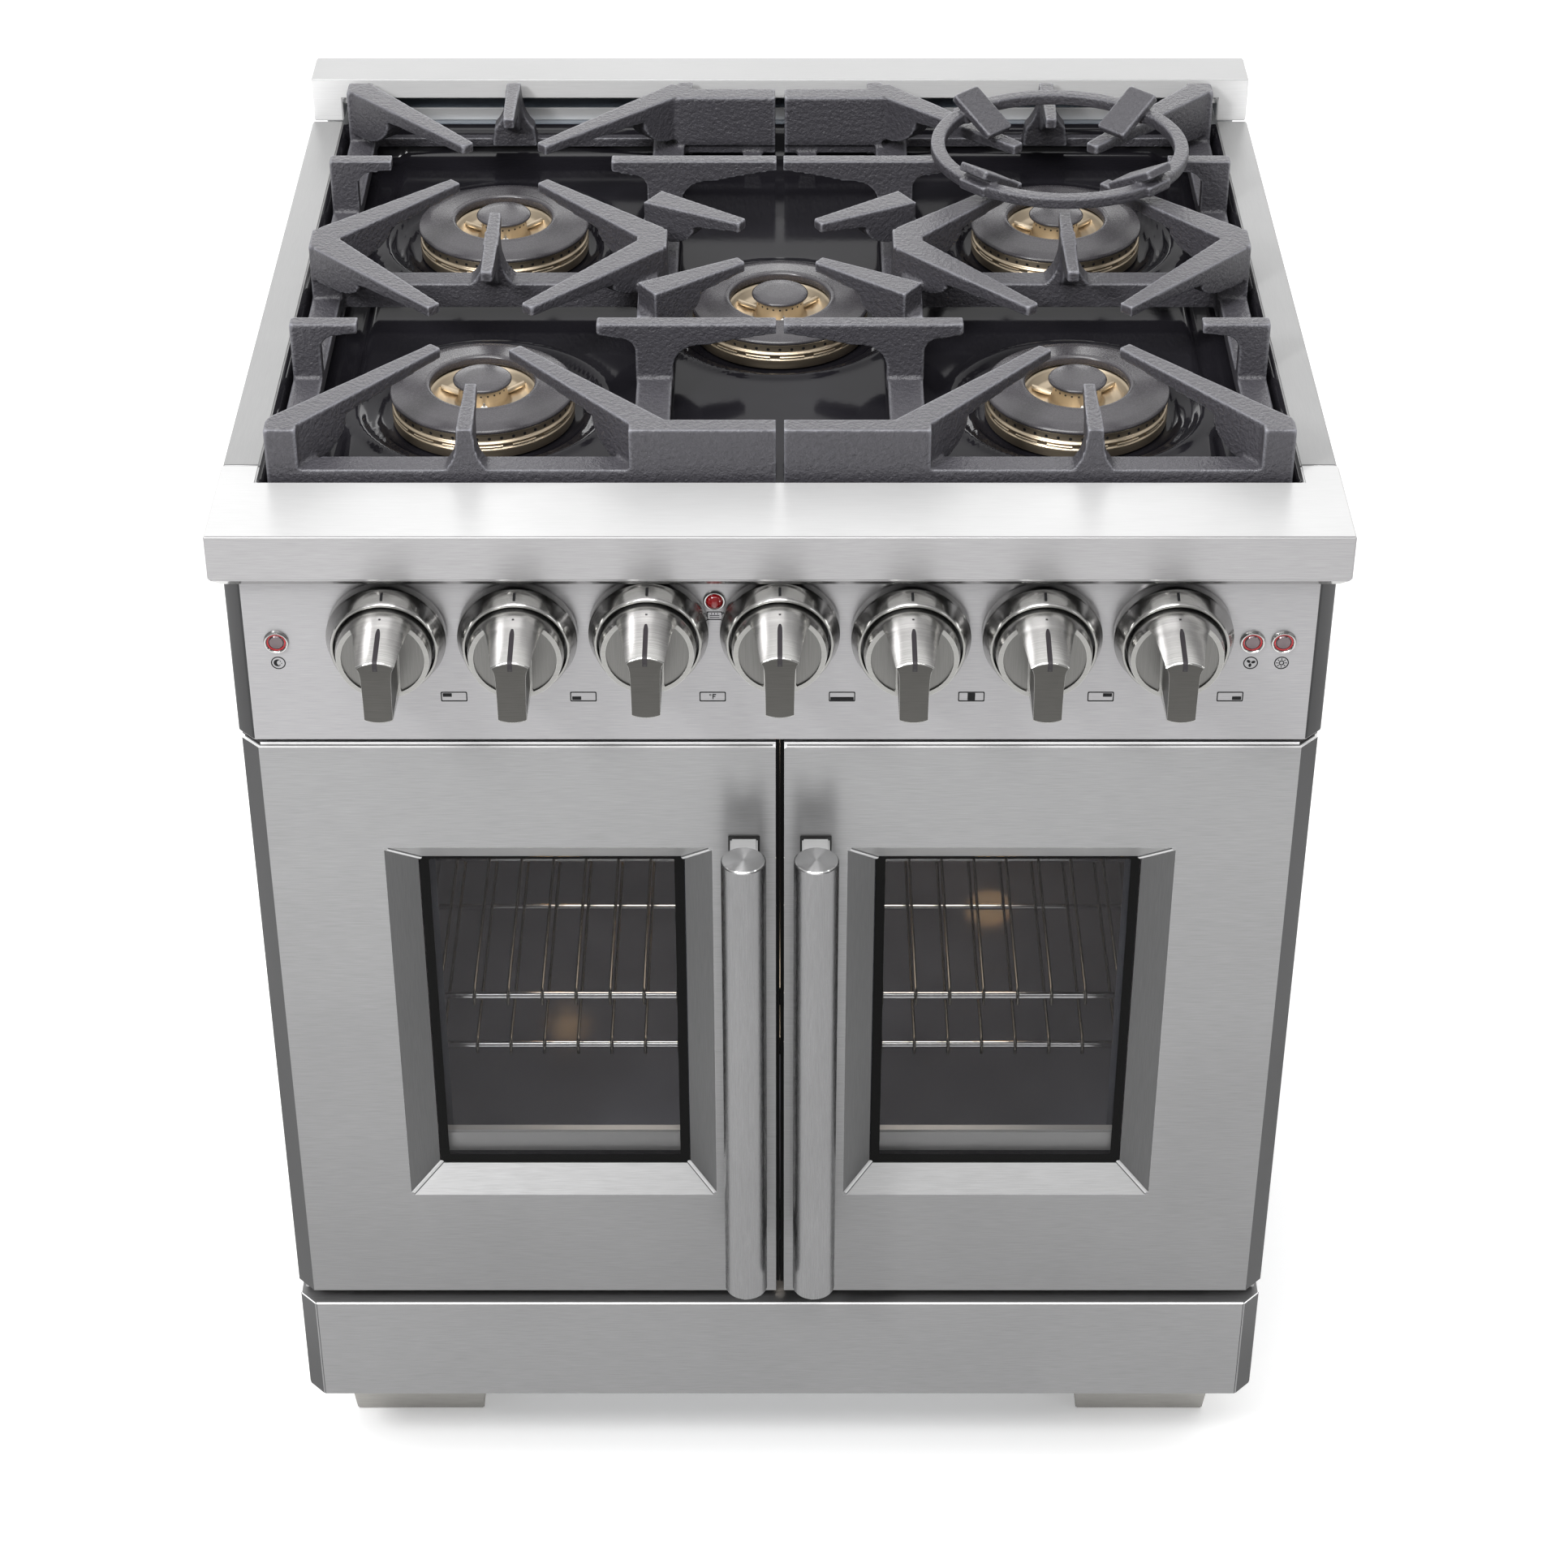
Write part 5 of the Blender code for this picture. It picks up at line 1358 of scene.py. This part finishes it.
def door_shell(side):
    node = "door_frame_" + side
    bm = from_node(node, 0.0010, 2, wide_folds, PAINTED_HIGHLIGHT_FOLD)
    bright_folds(bm, node, PAINTED_HIGHLIGHT_FOLD)
    mark_recess(bm, node)
    mark_chamfers(bm, PAINTED_SHADE_CHAMFER)
    piece("door_shell_" + side, bm, DOOR_FINISHES, "door_" + side, [node], FLAT)


def door_window(side):
    """The glass, its printed border, and the bright sill behind its lower edge."""
    body, node = "door_" + side, "door_glass_" + side
    piece("door_window_" + side, from_node(node, 0.0006), WINDOW, body, [node], FLAT)
    low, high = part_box(node)
    centre = middle(node, low.y)
    width, height = high.x - low.x, high.z - low.z
    bm = bmesh.new()
    outer = rectangle(width - 0.0006, height - 0.0006, 0.0010)
    inner = rectangle(width - 0.0145, height - 0.0100, 0.0020, 4, (0.0, 0.0030))
    ring_plate(bm, outer, inner, 0.00005, 0.0002, facing(centre))
    piece("window_border_" + side, bm, BORDER, body)
    bm = bmesh.new()
    start = (low.x + 0.002, high.y + 0.0006, low.z + 0.0060)
    solid_block(bm, start, (high.x - 0.002, high.y + 0.0090, low.z + 0.0265), 0.0014)
    piece("window_sill_" + side, bm, TRIM, body, sharp=FLAT)


def handle(side):
    """A brushed tube with spun end caps on two square posts, each with a dark gasket at the door."""
    node = "door_handle_" + side
    low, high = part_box(node)
    radius = (high.x - low.x) / 2
    centre = Vector(((low.x + high.x) / 2, low.y + radius, 0))
    place = Matrix.Translation(centre)
    body = "door_" + side
    lip = 0.0012
    edge = radius - 0.0013
    bm = bmesh.new()
    revolve(bm, [(edge, high.z), (radius, high.z - lip), (radius, low.z + lip), (edge, low.z)], place, 96)
    bmesh.ops.holes_fill(bm, edges=bm.edges)
    piece("handle_bar_" + side, bm, HANDLE_STEEL, body, [node], sharp=30)
    for end, height, outward in (("top", high.z, 1), ("bottom", low.z, -1)):
        cap = [(radius - 0.0001, -lip), (edge, 0.0001), (edge - 0.0005, 0.0002), (0.0, 0.0002)]
        cap += [(0.0, -0.0003), (edge - 0.0010, -0.0003)]
        spot = Matrix.Translation((centre.x, centre.y, height)) @ Matrix.Diagonal((1, 1, outward, 1))
        cap_name = f"handle_cap_{end}_{side}"
        turned(cap_name, cap, spot, 96, CAP_STEEL, body, sharp=30, closed=True)
    width, tall, inset = 0.0195, 0.032, 0.013
    foot = DOOR_Y - 0.0016
    bm = bmesh.new()
    tops = (high.z - inset, low.z + inset + tall)
    for top in tops:
        start = (centre.x - width / 2, centre.y + 0.004, top - tall)
        solid_block(bm, start, (centre.x + width / 2, foot, top), 0.0012)
    # Painted highlight: the post tops take the pale worktop steel.
    for face in bm.faces:
        face.material_index = 1 if face.normal.z > 0.7 else 0
    piece("handle_posts_" + side, bm, (DOOR_STEEL, TRIM), body, sharp=FLAT)
    bm = bmesh.new()
    grow = 0.0014
    for top in tops:
        start = (centre.x - width / 2 - grow, foot, top - tall - grow)
        solid_block(bm, start, (centre.x + width / 2 + grow, DOOR_Y - 0.0001, top + grow), 0.0004)
    piece("handle_gasket_" + side, bm, RUBBER, body)


# ---------------------------------------------------------------- casing


def screw(bm, centre, axis="back"):
    """A pan-head screw with a cross slot drawn as a dark cross, painted shade, facing backwards or to a side.
    """
    turns = {
        "back": Matrix.Rotation(-math.pi / 2, 4, "X"),
        "left": Matrix.Rotation(-math.pi / 2, 4, "Y"),
        "right": Matrix.Rotation(math.pi / 2, 4, "Y"),
    }
    place = Matrix.Translation(centre) @ turns[axis]
    radius = 0.0035
    head = [(0.0, 0.0016), (radius * 0.6, 0.0014), (radius * 0.93, 0.0008), (radius, 0.0), (0.0, -0.0002)]
    revolve(bm, head, place, 20)
    for across, along in ((radius * 1.1, 0.0007), (0.0007, radius * 1.1)):
        prism(bm, rectangle(across, along, 0.0001, 1), 0.0006, 0.0018, place, 1)


def casing():
    finishes = (KICK_STEEL, CHAMFER_PAINTED_SHADE_STEEL, PAINTED_HIGHLIGHT_STEEL)
    kick = from_node("kick_panel", 0.0014, rim=2)
    # Painted highlight: the kick's upward folds keep the faintly glowing edge finish.
    bright_folds(kick, "kick_panel", 2)
    # Painted shade: the kick's end chamfers take the near-black chamfer steel.
    mark_chamfers(kick, 1)
    piece("kick", kick, finishes, "root", ["kick_panel"], FLAT)
    for side, sign in SIDES:
        node = "side_panel_" + side
        piece("side_" + side, from_node(node, 0.0006), SIDE_STEEL, "root", [node], FLAT)
        low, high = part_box(node)
        bm = bmesh.new()
        face = low.x if sign < 0 else high.x
        for height in (0.18, 0.48, 0.78):
            screw(bm, (face, high.y - 0.012, height), side)
        piece("side_screws_" + side, bm, (SCREW_STEEL, PAINTED_SHADE_AND_DARK_MARK))
        hinge_bracket(side, sign)
        for row in ("front", "rear"):
            leg = f"leg_{row}_{side}"
            piece(leg + "_foot", from_node(leg, 0.0010), LEG_STEEL, "root", [leg], FLAT)
    rear()


def hinge_bracket(side, sign):
    """The folded bracket that carries a door's lower pivot, seen in the gap over the kick panel."""
    low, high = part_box("door_frame_" + side)
    edge = high.x if sign > 0 else low.x
    bottom = low.z - RIM
    bm = bmesh.new()
    outer, inner = edge - sign * 0.004, edge - sign * 0.040
    block(bm, (outer, 0.040, bottom - 0.0110), (inner, 0.078, bottom - 0.0085), 0.0006)
    pin = [(edge - sign * 0.013, back(0.050), rise(height)) for height in (bottom - 0.010, bottom - 0.0006)]
    rod(bm, *pin, 0.004, 20)
    piece("hinge_bracket_" + side, bm, TRIM, sharp=30)


def rear():
    """The back panel with pressed louvres, its screws and the threaded gas inlet."""
    low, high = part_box("back_panel")
    piece("back_sheet", from_node("back_panel", 0.0006), ZINC, "root", ["back_panel"], FLAT)
    bm = bmesh.new()
    width, tall, pitch = 0.085, 0.006, 0.022
    for column in (-0.20, -0.10, 0.0, 0.10, 0.20):
        for row in range(9):
            z = low.z + 0.10 + row * pitch
            half = width / 2
            hood = [(-half, 0.0), (half, 0.0), (half - 0.004, tall), (-half + 0.004, tall)]
            place = Matrix.Translation((column, high.y, z)) @ Matrix.Rotation(math.pi / 2 - 0.45, 4, "X")
            prism(bm, rounded(hood, 0.001, 2), -0.0008, 0.0004, place)
            # Painted shade: a dark block under each hood stands for its opening.
            start = (column - half, high.y - 0.0005, z - 0.0045)
            solid_block(bm, start, (column + half, high.y + 0.0002, z), material=1)
    piece("back_louvres", bm, (ZINC, PAINTED_SHADE_AND_DARK_MARK), sharp=25)
    bm = bmesh.new()
    for column in range(6):
        x = low.x + 0.012 + (high.x - low.x - 0.024) * column / 5
        for z in (low.z + 0.012, high.z - 0.030):
            screw(bm, (x, high.y, z))
    for row in range(1, 5):
        z = low.z + (high.z - low.z) * row / 5
        for x in (low.x + 0.012, high.x - 0.012):
            screw(bm, (x, high.y, z))
    piece("back_screws", bm, (SCREW_STEEL, PAINTED_SHADE_AND_DARK_MARK))
    pipe = (0.335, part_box("gas_manifold")[1].y, rise(-0.110))
    bm = bmesh.new()
    turn = Matrix.Translation(pipe) @ Matrix.Rotation(math.pi / 2, 4, "X")
    hexagon = arc((0, 0), 0.0145, 0, 300, 5)
    prism(bm, rounded(hexagon, 0.001, 2), 0.0020, 0.0038, turn, 0, 0.0005)
    thread = [(0.0092 + (0.0006 if step % 2 else 0.0), 0.0004 * step) for step in range(5)]
    revolve(bm, thread + [(0.0098, 0.0020)], turn, 40)
    piece("gas_fitting", bm, BRASS, sharp=40)


# ---------------------------------------------------------------- oven


def racks():
    pitch, corner = 0.0257, 0.012
    # The long wires hook over the front wire, as (distance behind it, height)
    hook = [(-0.0030, -0.0062), (-0.0032, -0.0030), (-0.0036, 0.0010), (-0.0010, 0.0042), (0.004, 0.0044)]
    for label in ("lower", "upper"):
        node = "oven_rack_" + label
        low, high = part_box(node)
        z = (low.z + high.z) / 2
        half, front, end = high.x, low.y + 0.003, high.y - 0.003
        across = front + 0.4 * (end - front)
        bm = bmesh.new()
        side = half - 0.003
        rim = [(-side, front), (side, front), (side, end), (-side, end)]
        points = [(x, y, z) for x, y in rounded(rim, corner, 4)]
        wire(bm, points + points[:2], 0.0028, 12)
        wire(bm, [(x, across, z - 0.0036) for x in (-half + 0.006, half - 0.006)], 0.0024)
        count = 2 * int(half / pitch) - 1
        for number in range(count):
            x = (number - (count - 1) / 2) * pitch
            run = [(x, front + reach, z + height) for reach, height in hook]
            run += [(x, end - 0.004, z + 0.0044), (x, end + 0.001, z + 0.0030)]
            # The long wires take the dim wire finish, painted shade.
            wire(bm, run, 0.0013, 8, 1)
        piece("rack_" + label, bm, (CHROME, WIRE_PAINTED_SHADE_CHROME), stands_for=[node], sharp=50)


def oven():
    racks()
    low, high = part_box("fan_cover")
    place = facing(middle("fan_cover", high.y))
    reach = high.y - low.y
    shell = [(0.025, reach), (0.086, reach), (0.095, reach - 0.009), (0.095, 0.0004), (0.0935, 0.0004)]
    shell += [(0.0935, reach - 0.010), (0.0855, reach - 0.0016), (0.025, reach - 0.0016)]
    bm = bmesh.new()
    revolve(bm, rounded(shell, 0.0012, 2), place, 96, closed=True)
    # Painted shade: dark discs stand for the perforations in the fan shield.
    for radius, count in ((0.034, 14), (0.047, 20), (0.060, 26), (0.073, 32)):
        for number in range(count):
            turn = 2 * math.pi * number / count
            spot = Matrix.Translation((radius * math.cos(turn), radius * math.sin(turn), reach))
            prism(bm, circle(0.0034, 12), -0.0006, 0.0001, place @ spot, 1)
    piece("fan_shield", bm, (LINING, PAINTED_SHADE_AND_DARK_MARK), stands_for=["fan_cover"], sharp=35)
    low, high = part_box("oven_liner")
    # The lamps are placed so that their glow falls where the photo shows two bright spots
    for number, (x, height) in enumerate(((-0.200, -0.4145), (0.192, -0.551))):
        spot = facing((x, high.y - 0.003, rise(height)))
        collar = [(0.0200, 0.0), (0.0260, 0.0), (0.0260, 0.0040), (0.0235, 0.0075), (0.0200, 0.0075)]
        collar = rounded(collar, 0.0008, 2)
        turned(f"lamp_collar_{number}", collar, spot, 48, CHROME, sharp=40, closed=True)
        turns = (0.0, 0.3, 0.6, 0.9, 1.2, 1.45)
        glass = [(0.0198 * math.sin(turn), 0.0150 * math.cos(turn)) for turn in turns]
        glass.append((0.0198, 0.0))
        turned(f"oven_lamp_{number}", glass, spot, 40, WARM_GLOW, sharp=60)
    bm = bmesh.new()
    loop = rectangle(0.640, 0.478, 0.030, 6, (0.0, rise(-0.430)))
    points = [(x, low.y - 0.0035, z) for x, z in loop]
    wire(bm, points + points[:2], 0.0032)
    piece("door_seal", bm, RUBBER, sharp=60)


NODE_FINISH = {
    "stainless_trim": TRIM,
    "stainless_panel": PANEL_STEEL,
    "galvanised_sheet": ZINC,
    "valve_steel": SCREW_STEEL,
    "gas_pipe": ZINC,
    "oven_enamel": LINING,
    "fan_enamel": LINING,
    "fan_steel": CHROME,
    "motor_steel": ZINC,
}


def finish_nodes():
    """The CAD nodes that stay in view take the finish of their slot."""
    slots = {part["node"]: part["material_slot"] for part in frame["record"]["subparts"]}
    for name, node in NODES.items():
        finish = NODE_FINISH.get(slots[name])
        if finish is None or node.hide_render:
            continue
        if not node.material_slots:
            node.data.materials.append(finish)
        for place in node.material_slots:
            place.material = finish


# ---------------------------------------------------------------- studio


def area_light(name, place, target, size, power, colour=(1.0, 1.0, 1.0)):
    light = bpy.data.lights.new(name, "AREA")
    light.shape = "RECTANGLE"
    light.size, light.size_y = size
    light.energy = power
    light.color = colour
    obj = bpy.data.objects.new(name, light)
    obj.location = place
    obj.rotation_euler = (Vector(target) - Vector(place)).to_track_quat("-Z", "Y").to_euler()
    obj.visible_camera = False
    bpy.context.scene.collection.objects.link(obj)


def lateral_fall(nodes, links, strength):
    """The room is darker to both sides, which gives round metal its dark flanks."""
    apart = nodes.new("ShaderNodeSeparateXYZ")
    wide = nodes.new("ShaderNodeMath")
    wide.operation = "ABSOLUTE"
    fall = map_range(nodes, (0.35, 1.08), (0.85, 0.68), smooth=True)
    level = nodes.new("ShaderNodeMath")
    level.operation = "MULTIPLY"
    links.new(nodes.new("ShaderNodeTexCoord").outputs["Generated"], apart.inputs["Vector"])
    links.new(apart.outputs["X"], wide.inputs[0])
    links.new(wide.outputs["Value"], fall.inputs["Value"])
    links.new(strength, level.inputs[0])
    links.new(fall.outputs["Result"], level.inputs[1])
    return level.outputs["Value"]


def studio():
    scene = bpy.context.scene
    scene.view_settings.view_transform = "Standard"
    world = bpy.data.worlds.new("studio")
    world.use_nodes = True
    nodes, links = world.node_tree.nodes, world.node_tree.links
    towards = nodes.new("ShaderNodeVectorMath")
    towards.operation = "DOT_PRODUCT"
    towards.inputs[1].default_value = (0.0, 0.77, 0.64)
    share = map_range(nodes, (-0.1, 0.40), (0.85, 1.15), smooth=True)
    links.new(nodes.new("ShaderNodeTexCoord").outputs["Generated"], towards.inputs[0])
    links.new(towards.outputs["Value"], share.inputs["Value"])
    links.new(lateral_fall(nodes, links, share.outputs["Result"]), nodes["Background"].inputs["Strength"])
    nodes["Background"].inputs["Color"].default_value = (1.0, 1.0, 1.0, 1.0)
    scene.world = world
    middle_height = (0.0, 0.0, 0.7)
    for name, place, size, power in (
        ("softbox_top", (-0.3, -1.0, 3.4), (1.5, 1.5), 52),
        ("softbox_front", (0.0, -1.8, 2.7), (2.2, 0.4), 13),
        ("key_left", (-1.6, -2.2, 2.9), (0.45, 0.6), 62),
        ("strip_right", (2.6, -1.6, 1.7), (0.4, 1.8), 10),
    ):
        area_light(name, place, middle_height, size, power)
    area_light("backdrop_light", (0.0, 2.6, 1.45), (0.0, 0.0, 0.9), (2.6, 0.7), 14)
    roof, rack = (0.0, back(0.30), rise(-0.27)), (0.0, back(0.34), rise(-0.60))
    area_light("oven_light", roof, rack, (0.40, 0.16), 1.3, (1.0, 0.90, 0.78))
    floor_plane()


def floor_plane():
    """A plain pale floor a hair under the feet."""
    bm = bmesh.new()
    bmesh.ops.create_grid(bm, x_segments=8, y_segments=8, size=9.0)
    mesh = bpy.data.meshes.new("floor")
    bm.to_mesh(mesh)
    bm.free()
    floor = bpy.data.objects.new("floor", mesh)
    floor.location.z = CAD_BOX[0].z - 0.0002
    pale = Finish("floor_paint", Emission_Strength=0.26, Emission_Color=(1.0, 1.0, 1.0))
    soft = pale.noise(1.5)
    pale.colour(pale.ramp(soft, (0.3, 0.90), (0.7, 0.93))).rough(soft, 0.75, 0.9)
    mesh.materials.append(pale.material)
    bpy.context.scene.collection.objects.link(floor)


def camera():
    """The photo's own view, solved from the corners of the range."""
    tilt_down = 34.444
    lens = bpy.data.cameras.new("camera")
    lens.sensor_width = 36.0
    lens.lens = 79.9
    lens.shift_x = 0.0026
    lens.shift_y = -0.034
    obj = bpy.data.objects.new("camera", lens)
    obj.location = (0.0, back(-1.9603), rise(1.190))
    obj.rotation_euler = (math.radians(90 - tilt_down), 0.0, 0.0)
    bpy.context.scene.collection.objects.link(obj)
    bpy.context.scene.camera = obj


camera()
studio()
worktop()
cooktop()
for burner_name in BURNERS:
    burner(burner_name)
for side_name, side_sign in SIDES:
    grate(side_name, side_sign)
wok_ring()
control_panel()
knobs()
doors()
casing()
oven()
finish_nodes()
